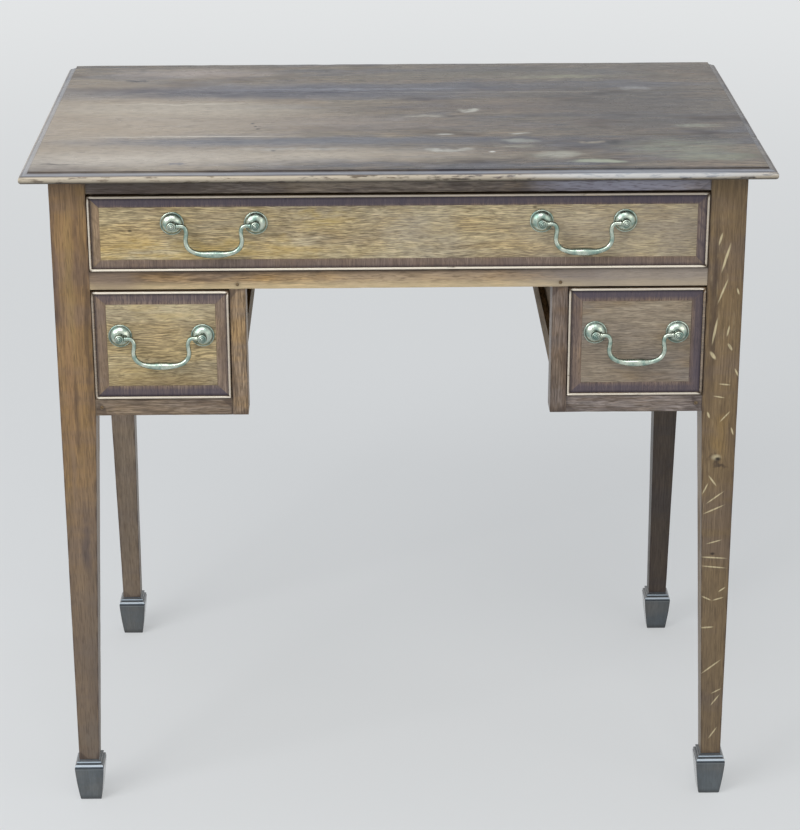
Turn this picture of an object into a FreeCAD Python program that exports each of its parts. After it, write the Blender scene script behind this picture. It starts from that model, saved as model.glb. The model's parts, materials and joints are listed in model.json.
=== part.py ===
import FreeCAD, Part
import math
import os

# A lowboy: a small dressing table on four tapered legs with spade feet, with one long
# drawer over two small ones and a kneehole between them. Millimetres, +Z up, the front
# faces -Y, and the origin is on the floor under the middle of the top.

Vector = FreeCAD.Vector

# Top
top_width = 825.0
top_depth = 516.0
height = 787.5
top_thickness = 12.5
overhang_front = 32.0
overhang_side = 28.0
overhang_back = 6.0
front_board_width = 151.5
back_board_width = 152.0
mould_width = 9.5
mould_step = 2.0
mould_fall = 1.6
nose_depth = 3.5
nose_rise = 3.5
nose_under = 3.6
nose_back = 3.6

# Legs and spade feet
front_leg = 40.5
back_leg = 35.0
ankle = 23.5
back_ankle_inset = 7.0
spigot = 12.0
spigot_length = 22.0
foot_height = 54.5
foot_width = 34.5
foot_base = 25.0
collar_height = 11.0
bead_height = 2.2
roll_height = 4.0
bead_bulge = 0.8
roll_bulge = 1.4
cove_hollow = 0.6
foot_bow = 0.5
foot_ease = 1.2
roll_flare = 0.85           # shares of the foot's flare: at the roll,
neck_flare = 0.5            # between the roll and the bead,
bead_flare = 0.3            # and at the top of the bead

# Front frame, from the top down and from a leg inwards
top_rail_height = 20.0
long_opening_height = 89.0
middle_rail_height = 21.0
small_opening_height = 130.0
bottom_rail_height = 20.0
rail_depth = 32.0
small_opening_width = 155.0
stile_width = 18.0
tenon_length = 20.0
tenon_shoulder = 5.0
stub_length = 10.0
dovetail_flare = 3.0
pin_radius = 2.0
pin_length = 26.0
pin_inset = 7.0

# Sides and back
panel_thickness = 14.0
panel_tongue = 6.0
back_thickness = 12.0
back_inset = 2.0
back_tongue = 6.0
back_lift = 10.0
lower_back_height = 135.0
lap_height = 6.0
tongue_length = 8.0

# Drawer runners, guides, kickers and stops
runner_reach = 14.0
guide_height = 14.0
bearer_reach = 24.0
lip_width = 7.0
lip_height = 10.0
stop_width = 34.0
stop_depth = 12.0
stop_height = 6.0
stop_spread = 400.0
block_length = 40.0
block_size = 14.0
block_spread = 480.0
block_count = 4

# Drawers
side_gap = 0.8
top_gap = 2.0
bottom_gap = 0.5
front_thickness = 18.0
front_lap = 9.0
bead_width = 3.0
bead_proud = 2.5
bead_cover = 1.0
long_banding_width = 10.0
small_banding_width = 12.5
banding_thickness = 1.0
side_thickness = 9.0
side_drop = 3.0
drawer_back_thickness = 9.0
drawer_back_drop = 3.0
drawer_bottom_thickness = 6.0
bottom_groove = 4.0
bottom_clearance = 2.0
rear_clearance = 8.0
tail_pitch = 30.0
tail_share = 0.62           # of each pitch
tail_slope = 1.0 / 6.0
tail_edge = 5.0
nose_share = 0.45           # the rounding of a bead, of its width

# Handles
handle_pitch = 92.5
long_handle_offset = 204.0
handle_rise = 11.0
rose_radius = 13.2
rose_height = 6.5
rose_rim = 1.6
rose_rim_width = 1.5
rose_crown = 1.4
post_neck_radius = 3.2
post_neck_length = 0.5
knob_radius = 5.5
knob_length = 9.0
boss_radius = 2.6
boss_length = 1.2
shank_radius = 2.5
nut_width = 10.0
nut_thickness = 3.5
shank_tail = 2.5
bail_radius = 2.4
bail_drop = 32.5
bail_neck_drop = 17.5
bail_shoulder = 16.6
bail_waist = 15.0
bail_heel = 21.0
bail_shoulder_bend = 6.0
bail_waist_bend = 18.0
bail_heel_bend = 12.0
bend_share = 0.49
bail_end = 1.0
grip_radius = 4.5
grip_length = 34.0

# Clearances
glue_gap = 0.1
hole_gap = 0.25
pivot_gap = 0.08

# How far a bail's pivot stands before the drawer's face
pivot_reach = rose_height + post_neck_length + knob_length / 2

# Levels
top_under = height - top_thickness
long_top = top_under - top_rail_height
long_bottom = long_top - long_opening_height
small_top = long_bottom - middle_rail_height
small_bottom = small_top - small_opening_height
case_bottom = small_bottom - bottom_rail_height

# Places across, for the right-hand half
leg_out = top_width / 2 - overhang_side
leg_in = leg_out - front_leg
back_leg_out = leg_in + back_leg
stile_out = leg_in - small_opening_width
stile_in = stile_out - stile_width
panel_in = back_leg_out - panel_thickness

# Places from front to back
face = -top_depth / 2 + overhang_front
front_leg_back = face + front_leg
rail_back = face + rail_depth
rear = top_depth / 2 - overhang_back
back_leg_front = rear - back_leg
board_back = rear - back_inset
board_front = board_back - back_thickness
drawer_end = board_front - rear_clearance


def block(x, y, z, grow=0.0):
    """A box between pairs of coordinates, made larger all round by grow."""
    spans = [abs(pair[1] - pair[0]) + 2 * grow for pair in (x, y, z)]
    corner = Vector(min(x) - grow, min(y) - grow, min(z) - grow)
    return Part.makeBox(spans[0], spans[1], spans[2], corner)


def mirrored(shape):
    """The same piece on the left-hand side."""
    return shape.mirror(Vector(0, 0, 0), Vector(1, 0, 0))


def on_side(shape, side):
    return shape if side > 0 else mirrored(shape)


def face_of(edges):
    return Part.Face(Part.Wire(edges))


def outline(points):
    """Straight edges round a closed list of points."""
    corners = [Vector(*point) for point in points]
    return Part.Face(Part.makePolygon(corners + corners[:1]))


def line(start, end):
    return Part.makeLine(Vector(*start), Vector(*end))


def bulge(start, end, rise):
    """An arc from start to end in the XZ plane that stands rise to the left of its chord."""
    a = Vector(*start)
    b = Vector(*end)
    chord = b - a
    out = Vector(-chord.z, 0, chord.x).normalize()
    return Part.Arc(a, (a + b) * 0.5 + out * rise, b).toShape()


def joined(first, *others):
    shape = first
    for other in others:
        shape = shape.fuse(other)
    return shape.removeSplitter()


def without(shape, cutters):
    for cutter in cutters:
        shape = shape.cut(cutter)
    return shape


# The top


def moulded_edge(u, z):
    """Edges of the moulded edge in the XZ plane, from the flat of the top round to its
    underside. u is the edge's x, and the top lies on the side of smaller x."""
    nose_top = height - mould_step - mould_fall
    nose_bottom = height - mould_step - mould_fall - nose_rise
    lip = z + nose_under
    quarter = math.sqrt(0.5)
    upper = Vector(u - nose_depth * (1 - quarter), 0, nose_bottom + nose_rise * quarter)
    lower = Vector(u - nose_back * (1 - quarter), 0, lip - nose_under * quarter)
    step = u - mould_width
    return [
        line((step, 0, height), (step, 0, height - mould_step)),
        line((step, 0, height - mould_step), (u - nose_depth, 0, nose_top)),
        Part.Arc(Vector(u - nose_depth, 0, nose_top), upper, Vector(u, 0, nose_bottom)).toShape(),
        line((u, 0, nose_bottom), (u, 0, lip)),
        Part.Arc(Vector(u, 0, lip), lower, Vector(u - nose_back, 0, z)).toShape(),
    ]


def moulded_plate():
    """The whole top before it is parted into boards: the ends and the front are moulded."""
    half = top_width / 2
    right = moulded_edge(half, top_under)
    left = [mirrored(edge) for edge in right]
    flat = line((mould_width - half, 0, height), (half - mould_width, 0, height))
    under = line((nose_back - half, 0, top_under), (half - nose_back, 0, top_under))
    ends = face_of(Part.__sortEdges__(right + left + [flat, under]))
    plate = ends.extrude(Vector(0, top_depth, 0))
    plate.translate(Vector(0, -top_depth / 2, 0))

    nose = moulded_edge(top_depth / 2, top_under)
    square = -top_depth / 2
    nose.append(line((square, 0, height), (top_depth / 2 - mould_width, 0, height)))
    nose.append(line((square, 0, top_under), (top_depth / 2 - nose_back, 0, top_under)))
    nose.append(line((square, 0, top_under), (square, 0, height)))
    front = face_of(Part.__sortEdges__(nose)).extrude(Vector(0, top_width, 0))
    front.translate(Vector(0, -top_width / 2, 0))
    front.rotate(Vector(0, 0, 0), Vector(0, 0, 1), -90)
    return plate.common(front)


def top_boards():
    plate = moulded_plate()
    half = top_depth / 2
    joints = [-half, front_board_width - half, half - back_board_width, half]
    names = ["top_board_front", "top_board_middle", "top_board_back"]
    boards = {}
    for name, start, end in zip(names, joints, joints[1:]):
        strip = block((-top_width / 2, top_width / 2), (start, end), (top_under, height))
        boards[name] = plate.common(strip)
    return boards


# Legs and feet


def rectangle(x, y, z):
    corners = [(x[0], y[0], z), (x[1], y[0], z), (x[1], y[1], z), (x[0], y[1], z)]
    return outline(corners).OuterWire


def leg_blank(x, y):
    return block(x, y, (case_bottom, top_under))


def leg(out, inner, outer_y, inner_y, inset):
    """Square above the case's bottom, and tapered on its two inner faces below it. A back
    leg's outer face also leans in, by inset at the ankle."""
    step = math.copysign(ankle, inner_y - outer_y)
    x = (inner, out)
    ankle_x = (out - inset - ankle, out - inset)
    ankle_y = (outer_y, outer_y + step)
    top = rectangle(x, (outer_y, inner_y), case_bottom)
    end = rectangle(ankle_x, ankle_y, foot_height)
    taper = Part.makeLoft([top, end], True, True)
    centre = ankle_centre(out - inset, outer_y, inner_y)
    pin = spigot_block(centre, (foot_height - spigot_length, foot_height))
    return joined(leg_blank(x, (outer_y, inner_y)), taper, pin)


def ankle_centre(out, outer_y, inner_y):
    return (out - ankle / 2, outer_y + math.copysign(ankle / 2, inner_y - outer_y))


def spigot_block(centre, z, grow=0.0):
    x = (centre[0] - spigot / 2, centre[0] + spigot / 2)
    y = (centre[1] - spigot / 2, centre[1] + spigot / 2)
    return block(x, y, z, grow)


def foot_section():
    """Half of the foot's outline: a tapered block under a collar of a roll and a bead."""
    ankle_half = ankle / 2
    wide = foot_width / 2
    flare = wide - ankle_half
    brow = foot_height - collar_height
    fillet = (collar_height - bead_height - roll_height) / 3
    roll_low = brow + fillet
    roll_high = roll_low + roll_height
    bead_low = roll_high + fillet
    bead_high = bead_low + bead_height
    roll_x = ankle_half + flare * roll_flare
    neck_x = ankle_half + flare * neck_flare
    bead_x = ankle_half + flare * bead_flare
    base = foot_base / 2
    return [
        line((0, 0, 0), (base - foot_ease, 0, 0)),
        line((base - foot_ease, 0, 0), (base, 0, foot_ease)),
        bulge((base, 0, foot_ease), (wide, 0, brow), -foot_bow),
        line((wide, 0, brow), (wide, 0, roll_low)),
        line((wide, 0, roll_low), (roll_x, 0, roll_low)),
        bulge((roll_x, 0, roll_low), (neck_x, 0, roll_high), -roll_bulge),
        line((neck_x, 0, roll_high), (neck_x, 0, bead_low)),
        bulge((neck_x, 0, bead_low), (bead_x, 0, bead_high), -bead_bulge),
        bulge((bead_x, 0, bead_high), (ankle_half, 0, foot_height), cove_hollow),
        line((ankle_half, 0, foot_height), (0, 0, foot_height)),
        line((0, 0, foot_height), (0, 0, 0)),
    ]


def foot(centre):
    """Square in plan, with the collar mitred at its corners."""
    half = face_of(foot_section())
    depth = Vector(0, foot_width, 0)
    ridge = joined(half.extrude(depth), mirrored(half).extrude(depth))
    ridge.translate(Vector(0, -foot_width / 2, 0))
    turned = ridge.copy()
    turned.rotate(Vector(0, 0, 0), Vector(0, 0, 1), 90)
    shape = ridge.common(turned)
    shape.translate(Vector(centre[0], centre[1], 0))
    socket = spigot_block(centre, (foot_height - spigot_length, foot_height), glue_gap)
    return shape.cut(socket)


# Front frame


def tenon(x, y, z, grow=0.0):
    """A tenon with shoulders in front, behind, above and below."""
    inner_y = (y[0] + tenon_shoulder, y[1] - tenon_shoulder)
    inner_z = (z[0] + tenon_shoulder, z[1] - tenon_shoulder)
    return block(x, inner_y, inner_z, grow)


def dovetail(grow=0.0):
    """The lap dovetail that holds the end of the top rail in the top of a leg."""
    y0 = face + tenon_shoulder - grow
    y1 = rail_back - tenon_shoulder + grow
    tip = leg_in + tenon_length + grow
    points = [
        (leg_in, y0 + dovetail_flare),
        (tip, y0),
        (tip, y1),
        (leg_in, y1 - dovetail_flare),
    ]
    low = long_top + tenon_shoulder - grow
    shape = outline([(x, y, low) for x, y in points])
    return shape.extrude(Vector(0, 0, top_under + grow - low))


def rail_span():
    return (face, rail_back)


def middle_tenon(grow=0.0):
    return tenon((leg_in, leg_in + tenon_length), rail_span(), (small_top, long_bottom), grow)


def bottom_tenon(grow=0.0):
    return tenon((leg_in, leg_in + tenon_length), rail_span(), (case_bottom, small_bottom), grow)


def stub_tenon(grow=0.0):
    """The bottom rail's short tenon in the stile."""
    return tenon((stile_out - stub_length, stile_out), rail_span(), (case_bottom, small_bottom), grow)


def stile_tenon(grow=0.0):
    """The stile's short tenon in the middle rail."""
    x = (stile_in + tenon_shoulder, stile_out - tenon_shoulder)
    y = (face + tenon_shoulder, rail_back - tenon_shoulder)
    return block(x, y, (small_top, small_top + stub_length), grow)


def pin(x, z):
    return Part.makeCylinder(pin_radius, pin_length, Vector(x, face, z), Vector(0, 1, 0))


def rail_pins():
    """Right-hand pins: one through the stile's tenon, one at the bottom rail's outer end."""
    stile_pin = pin((stile_in + stile_out) / 2, small_top + stub_length / 2)
    end_pin = pin(leg_in - pin_inset, (case_bottom + small_bottom) / 2)
    return [stile_pin, end_pin]


def long_rail(z, tenons):
    return joined(block((-leg_in, leg_in), rail_span(), z), *tenons)


def front_frame():
    pieces = {}
    pins = rail_pins()
    all_pins = pins + [mirrored(p) for p in pins]
    tops = [dovetail(), mirrored(dovetail())]
    pieces["top_rail"] = long_rail((long_top, top_under), tops)
    ends = [middle_tenon(), mirrored(middle_tenon())]
    mortises = [stile_tenon(glue_gap), mirrored(stile_tenon(glue_gap))]
    middle = long_rail((small_top, long_bottom), ends)
    pieces["middle_rail"] = without(middle, mortises + all_pins)
    stile = joined(block((stile_in, stile_out), rail_span(), (case_bottom, small_top)), stile_tenon())
    stile = without(stile, [stub_tenon(glue_gap)] + pins)
    rail = block((stile_out, leg_in), rail_span(), (case_bottom, small_bottom))
    rail = without(joined(rail, stub_tenon(), bottom_tenon()), pins)
    for name, side in (("left", -1), ("right", 1)):
        pieces["stile_" + name] = on_side(stile, side)
        pieces["bottom_rail_" + name] = on_side(rail, side)
    pieces["rail_pins"] = all_pins
    return pieces


# Sides, back and legs


def side_panel(grow=0.0):
    """One board, tongued into both legs."""
    middle = (panel_in + back_leg_out) / 2
    x = (middle - panel_tongue / 2, middle + panel_tongue / 2)
    y = (front_leg_back - tongue_length, back_leg_front + tongue_length)
    z = (case_bottom, top_under)
    body = block((panel_in, back_leg_out), (front_leg_back, back_leg_front), z, 0.0)
    return body.fuse(block(x, y, z, grow)).removeSplitter()


def back_tongues(grow=0.0):
    """The tongue that both back boards share, before they are parted."""
    middle = (board_front + board_back) / 2
    y = (middle - back_tongue / 2, middle + back_tongue / 2)
    reach = leg_in + tongue_length
    return block((-reach, reach), y, (case_bottom + back_lift, top_under), grow)


def back_boards():
    """Two boards lapped where they meet."""
    low = case_bottom + back_lift
    part = low + lower_back_height
    middle = (board_front + board_back) / 2
    reach = leg_in + tongue_length
    whole = block((-leg_in, leg_in), (board_front, board_back), (low, top_under))
    whole = whole.fuse(back_tongues()).removeSplitter()
    below = block((-reach, reach), (board_front, board_back), (low, part))
    lap = block((-reach, reach), (middle, board_back), (part, part + lap_height))
    lower_space = below.fuse(lap)
    return {
        "back_board_lower": whole.common(lower_space),
        "back_board_upper": whole.cut(lower_space),
    }


def legs_and_feet():
    pieces = {}
    panel_groove = side_panel(glue_gap)
    front_mates = [dovetail(glue_gap), middle_tenon(glue_gap), bottom_tenon(glue_gap), panel_groove]
    back_mates = [back_tongues(glue_gap), panel_groove]
    front = without(leg(leg_out, leg_in, face, front_leg_back, 0.0), front_mates)
    back = leg(back_leg_out, leg_in, rear, back_leg_front, back_ankle_inset)
    back = without(back, back_mates)
    front_foot = foot(ankle_centre(leg_out, face, front_leg_back))
    back_foot = foot(ankle_centre(back_leg_out - back_ankle_inset, rear, back_leg_front))
    for name, side in (("left", -1), ("right", 1)):
        pieces["leg_front_" + name] = on_side(front, side)
        pieces["leg_back_" + name] = on_side(back, side)
        pieces["foot_front_" + name] = on_side(front_foot, side)
        pieces["foot_back_" + name] = on_side(back_foot, side)
        pieces["side_panel_" + name] = on_side(side_panel(), side)
    return pieces


# Inside the case


def notched(bar):
    """A bar along the side of the case, notched round both legs."""
    front = leg_blank((leg_in, leg_out), (face, front_leg_back))
    back = leg_blank((leg_in, back_leg_out), (back_leg_front, rear))
    return without(bar, [front, back])


def side_bar(z):
    return notched(block((leg_in - runner_reach, panel_in), (rail_back, board_front), z))


def guide(z):
    """A strip that keeps a drawer square, flush with the legs' inner faces."""
    return block((leg_in, panel_in), (front_leg_back, back_leg_front), (z, z + guide_height))


def inner_bearer():
    """The small drawer's runner on the kneehole side, with a low lip as its guide."""
    run = (rail_back, board_front)
    base = block((stile_out - lip_width, stile_out + bearer_reach), run, (case_bottom, small_bottom))
    lip = block((stile_out - lip_width, stile_out), run, (small_bottom, small_bottom + lip_height))
    return joined(base, lip)


def inner_kicker():
    x = (stile_out - lip_width, stile_out + bearer_reach)
    return block(x, (rail_back, board_front), (small_top, long_bottom))


def stop(x, z):
    """A small block behind the drawer front, glued to the rail."""
    start = face + front_thickness
    half = stop_width / 2
    return block((x - half, x + half), (start, start + stop_depth), (z, z + stop_height))


def glue_blocks():
    """Blocks in the angle under the top, behind the top rail and before the back board."""
    blocks = []
    low = top_under - block_size
    for index in range(block_count):
        x = block_spread * (index / (block_count - 1) - 0.5)
        span = (x - block_length / 2, x + block_length / 2)
        blocks.append(block(span, (rail_back, rail_back + block_size), (low, top_under)))
        blocks.append(block(span, (board_front - block_size, board_front), (low, top_under)))
    return blocks


def inside_pieces():
    bars = {
        "long_drawer_runners": [side_bar((small_top, long_bottom))],
        "long_drawer_kickers": [side_bar((long_top, top_under))],
        "small_drawer_outer_runners": [side_bar((case_bottom, small_bottom))],
        "small_drawer_inner_bearers": [inner_bearer()],
        "small_drawer_kickers": [inner_kicker()],
        "drawer_guides": [guide(long_bottom), guide(small_bottom)],
        "drawer_stops": [
            stop(stop_spread / 2, long_bottom),
            stop((stile_out + leg_in) / 2, small_bottom),
        ],
    }
    pieces = {name: shapes + [mirrored(s) for s in shapes] for name, shapes in bars.items()}
    pieces["top_glue_blocks"] = glue_blocks()
    return pieces


# Drawers


def mitred_strips(x, z, width, y):
    """Four flat strips mitred round a rectangle, as prisms along Y."""
    outer = [(x[0], z[0]), (x[1], z[0]), (x[1], z[1]), (x[0], z[1])]
    inward = [(width, width), (-width, width), (-width, -width), (width, -width)]
    inner = [(cx + dx, cz + dz) for (cx, cz), (dx, dz) in zip(outer, inward)]
    strips = []
    for i in range(4):
        j = (i + 1) % 4
        corners = [outer[i], outer[j], inner[j], inner[i]]
        shape = outline([(cx, y[0], cz) for cx, cz in corners])
        strips.append(shape.extrude(Vector(0, y[1] - y[0], 0)))
    return strips


def round_nose(strip):
    """Rounds the two long front edges of a bead nearly to a half circle."""
    middle = (strip.BoundBox.YMin + strip.BoundBox.YMax) / 2
    front = [edge for edge in strip.Edges if edge.BoundBox.YMax < middle]
    long_edges = sorted(front, key=lambda edge: edge.Length)[-2:]
    return strip.makeFillet(bead_width * nose_share, long_edges)


def tails(x, y_root, y_tip, z):
    """Dovetail tails along the end of a side board, between two heights."""
    run = z[1] - z[0] - 2 * tail_edge
    count = max(2, round(run / tail_pitch))
    pitch = run / count
    flare = abs(y_tip - y_root) * tail_slope
    wide = pitch * tail_share
    shapes = []
    for i in range(count):
        mid = z[0] + tail_edge + pitch * (i + 0.5)
        points = [
            (y_root, mid - wide / 2 + flare),
            (y_tip, mid - wide / 2),
            (y_tip, mid + wide / 2),
            (y_root, mid + wide / 2 - flare),
        ]
        shape = outline([(x[0], py, pz) for py, pz in points])
        shapes.append(shape.extrude(Vector(x[1] - x[0], 0, 0)))
    return shapes


def drawer(x, z, handles, handle_z, banding_width):
    """Every wooden piece of one drawer that fills an opening."""
    fx = (x[0] + side_gap, x[1] - side_gap)
    fz = (z[0] + bottom_gap, z[1] - top_gap)
    front_back = face + front_thickness
    bead_back = face + front_lap - bead_cover
    side_top = fz[1] - side_drop
    bottom_low = z[0] + stop_height + bottom_clearance
    bottom_high = bottom_low + drawer_bottom_thickness
    back_z = (bottom_high, side_top - drawer_back_drop)
    back_y = (drawer_end - drawer_back_thickness, drawer_end)
    left = (fx[0], fx[0] + side_thickness)
    right = (fx[1] - side_thickness, fx[1])

    bx = (fx[0] + bead_width, fx[1] - bead_width)
    bz = (fz[0] + bead_width, fz[1] - bead_width)
    beads = mitred_strips(fx, fz, bead_width, (face - bead_proud, bead_back))
    banding = mitred_strips(bx, bz, banding_width, (face, face + banding_thickness))

    groove_x = (left[1] - bottom_groove, right[0] + bottom_groove)
    bottom = block(groove_x, (front_back - bottom_groove, drawer_end), (bottom_low, bottom_high))
    tail_z = (bottom_low, side_top)
    front_tails = [tails(span, front_back, face + front_lap, tail_z) for span in (left, right)]
    back_tails = [tails(span, back_y[0], back_y[1], back_z) for span in (left, right)]

    front = block(fx, (face, front_back), fz)
    holes = [bolt_hole(hx, handle_z) for hx in handles]
    front = without(front, beads + banding + front_tails[0] + front_tails[1] + [bottom] + holes)
    back = without(block(fx, back_y, back_z), back_tails[0] + back_tails[1])
    sides = []
    for span, sockets in zip((left, right), front_tails):
        board = block(span, (front_back, drawer_end), (z[0], side_top))
        sides.append(without(joined(board, *sockets), [back, bottom]))
    return {
        "front": front,
        "crossbanding": banding,
        "cockbead": [round_nose(bead) for bead in beads],
        "sides": sides,
        "back": back,
        "bottom": bottom,
    }


# Handles


def turned(edges, x, z):
    """A solid turned about a line along Y. The edges give radius as x and, as y, the
    distance behind the drawer's face."""
    solid = face_of(edges).revolve(Vector(0, 0, 0), Vector(0, 1, 0), 360)
    solid.translate(Vector(x, face, z))
    return solid


def bolt_hole(x, z):
    reach = front_thickness + 2 * glue_gap
    start = Vector(x, face - glue_gap, z)
    return Part.makeCylinder(shank_radius + hole_gap, reach, start, Vector(0, 1, 0))


def rose(x, z):
    """A domed round plate with a flat rim."""
    bore = shank_radius + hole_gap
    dome = rose_radius - rose_rim_width
    crown = post_neck_radius
    chord = Vector(crown - dome, rose_rim - rose_height, 0)
    out = Vector(-chord.y, chord.x, 0).normalize()
    middle = Vector((dome + crown) / 2, -(rose_rim + rose_height) / 2, 0) + out * rose_crown
    edges = [
        line((bore, 0, 0), (rose_radius, 0, 0)),
        line((rose_radius, 0, 0), (rose_radius, -rose_rim, 0)),
        line((rose_radius, -rose_rim, 0), (dome, -rose_rim, 0)),
        Part.Arc(Vector(dome, -rose_rim, 0), middle, Vector(crown, -rose_height, 0)).toShape(),
        line((crown, -rose_height, 0), (bore, -rose_height, 0)),
        line((bore, -rose_height, 0), (bore, 0, 0)),
    ]
    return turned(edges, x, z)


def post(x, z, inward):
    """A bolt whose rounded head takes one end of the bail."""
    back = pivot_reach - knob_length / 2
    front = pivot_reach + knob_length / 2
    tail = front_thickness + nut_thickness + shank_tail
    edges = [
        line((0, tail, 0), (shank_radius, tail, 0)),
        line((shank_radius, tail, 0), (shank_radius, -rose_height, 0)),
        line((shank_radius, -rose_height, 0), (post_neck_radius, -rose_height, 0)),
        line((post_neck_radius, -rose_height, 0), (post_neck_radius, -back, 0)),
        Part.Arc(
            Vector(post_neck_radius, -back, 0),
            Vector(knob_radius, -pivot_reach, 0),
            Vector(boss_radius, -front, 0),
        ).toShape(),
        line((boss_radius, -front, 0), (boss_radius, -front - boss_length, 0)),
        line((boss_radius, -front - boss_length, 0), (0, -front - boss_length, 0)),
        line((0, -front - boss_length, 0), (0, tail, 0)),
    ]
    solid = turned(edges, x, z)
    start = Vector(x + inward * (bail_end - glue_gap), face - pivot_reach, z)
    bore = Part.makeCylinder(bail_radius + pivot_gap, 2 * knob_radius, start, Vector(inward, 0, 0))
    return solid.cut(bore)


def nut(x, z):
    start = face + front_thickness
    half = nut_width / 2
    body = block((x - half, x + half), (start, start + nut_thickness), (z - half, z + half))
    bore = shank_radius + glue_gap / 2
    thread = Part.makeCylinder(bore, nut_thickness, Vector(x, start, z), Vector(0, 1, 0))
    return body.cut(thread)


def bent_path(points, bends):
    """Straight runs joined by tangent arcs, one bend radius for each inner point. A bend
    takes no more than bend_share of the shorter run beside it."""
    edges = []
    start = points[0]
    for i, radius in enumerate(bends, 1):
        corner = points[i]
        to_back = (points[i - 1] - corner).normalize()
        to_next = (points[i + 1] - corner).normalize()
        half = to_back.getAngle(to_next) / 2
        run = min((points[i - 1] - corner).Length, (points[i + 1] - corner).Length)
        reach = min(radius / math.tan(half), run * bend_share)
        radius = reach * math.tan(half)
        enter = corner + to_back * reach
        leave = corner + to_next * reach
        centre = corner + (to_back + to_next).normalize() * (radius / math.sin(half))
        middle = centre + (corner - centre).normalize() * radius
        edges.append(Part.makeLine(start, enter))
        edges.append(Part.Arc(enter, middle, leave).toShape())
        start = leave
    edges.append(Part.makeLine(start, points[-1]))
    return Part.Wire(edges)


def bail(x, z):
    """A swan-neck bail that hangs from two posts, with a swelling in its grip."""
    y = face - pivot_reach
    half = handle_pitch / 2
    right = [
        (half - bail_heel, -bail_drop),
        (half - bail_waist, -bail_neck_drop),
        (half - bail_shoulder, 0.0),
        (half - bail_end, 0.0),
    ]
    left = [(-px, pz) for px, pz in reversed(right)]
    points = [Vector(x + px, y, z + pz) for px, pz in left + right]
    bends = [bail_shoulder_bend, bail_waist_bend, bail_heel_bend]
    path = bent_path(points, bends + bends[::-1])
    section = Part.Wire(Part.makeCircle(bail_radius, points[0], Vector(1, 0, 0)))
    rod = path.makePipeShell([section], True, False)
    return joined(rod, grip(x, y, z - bail_drop))


def grip(x, y, z):
    """The swelling at the middle of the bail, turned about the bail's own line."""
    half = grip_length / 2
    low = Vector(-half, 0, 0)
    high = Vector(half, 0, 0)
    start = low + Vector(0, bail_radius, 0)
    end = high + Vector(0, bail_radius, 0)
    edges = [
        Part.makeLine(low, start),
        Part.Arc(start, Vector(0, grip_radius, 0), end).toShape(),
        Part.makeLine(end, high),
        Part.makeLine(high, low),
    ]
    solid = face_of(edges).revolve(Vector(0, 0, 0), Vector(1, 0, 0), 360)
    solid.translate(Vector(x, y, z))
    return solid


def hardware(centres, z):
    roses = []
    bolts = []
    for centre in centres:
        for end in (-1, 1):
            x = centre + end * handle_pitch / 2
            roses.append(rose(x, z))
            bolts.append(post(x, z, -end))
            bolts.append(nut(x, z))
    return {"roses": roses, "handle_bolts": bolts}


def post_places(centres):
    return [centre + end * handle_pitch / 2 for centre in centres for end in (-1, 1)]


def all_drawers():
    pieces = {}
    small_middle = (stile_out + leg_in) / 2
    long_handles = {"left_bail": -long_handle_offset, "right_bail": long_handle_offset}
    long_z = (long_bottom, long_top)
    small_z = (small_bottom, small_top)
    small = small_banding_width
    layout = {
        "long_drawer": ((-leg_in, leg_in), long_z, long_banding_width, long_handles),
        "left_drawer": ((-leg_in, -stile_out), small_z, small, {"bail": -small_middle}),
        "right_drawer": ((stile_out, leg_in), small_z, small, {"bail": small_middle}),
    }
    for name, (x, z, banding_width, handles) in layout.items():
        centres = list(handles.values())
        handle_z = (z[0] + z[1]) / 2 + handle_rise
        parts = drawer(x, z, post_places(centres), handle_z, banding_width)
        parts.update(hardware(centres, handle_z))
        for key, centre in handles.items():
            parts[key] = bail(centre, handle_z)
        for key, shape in parts.items():
            pieces[name + "_" + key] = shape
    return pieces


def write(pieces):
    os.makedirs("parts", exist_ok=True)
    for name, shape in pieces.items():
        solid = Part.makeCompound(shape) if isinstance(shape, list) else shape
        solid.exportStep("parts/" + name + ".step")


model = {}
model.update(top_boards())
model.update(legs_and_feet())
model.update(front_frame())
model.update(back_boards())
model.update(inside_pieces())
model.update(all_drawers())
write(model)
print(len(model), "nodes")
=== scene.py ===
import json
import math
import random
from functools import partial

import bmesh
import bpy
from mathutils import Euler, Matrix, Quaternion, Vector, kdtree, noise


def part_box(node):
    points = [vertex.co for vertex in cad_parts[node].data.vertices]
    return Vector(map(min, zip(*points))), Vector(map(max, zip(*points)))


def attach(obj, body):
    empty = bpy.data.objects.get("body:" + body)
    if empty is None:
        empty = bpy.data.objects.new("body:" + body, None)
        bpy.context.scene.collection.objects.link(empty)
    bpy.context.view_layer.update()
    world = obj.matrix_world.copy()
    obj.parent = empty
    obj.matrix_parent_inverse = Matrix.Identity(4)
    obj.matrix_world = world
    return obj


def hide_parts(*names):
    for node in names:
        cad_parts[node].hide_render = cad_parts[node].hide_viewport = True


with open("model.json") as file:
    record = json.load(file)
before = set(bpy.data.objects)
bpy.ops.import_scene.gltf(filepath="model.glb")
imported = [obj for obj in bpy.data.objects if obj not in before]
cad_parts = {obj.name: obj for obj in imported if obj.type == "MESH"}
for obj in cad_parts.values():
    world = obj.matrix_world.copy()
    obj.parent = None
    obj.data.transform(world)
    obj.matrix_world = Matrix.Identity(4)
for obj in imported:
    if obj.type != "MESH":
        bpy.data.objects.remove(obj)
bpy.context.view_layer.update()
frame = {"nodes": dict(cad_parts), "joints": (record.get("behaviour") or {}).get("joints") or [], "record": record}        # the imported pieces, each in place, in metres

mm = 0.001
eased = {"interpolation_type": "SMOOTHSTEP"}
bodies = frame["record"]["behaviour"]["bodies"]
bodyOf = {node: body for body, members in bodies.items() for node in members}


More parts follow.
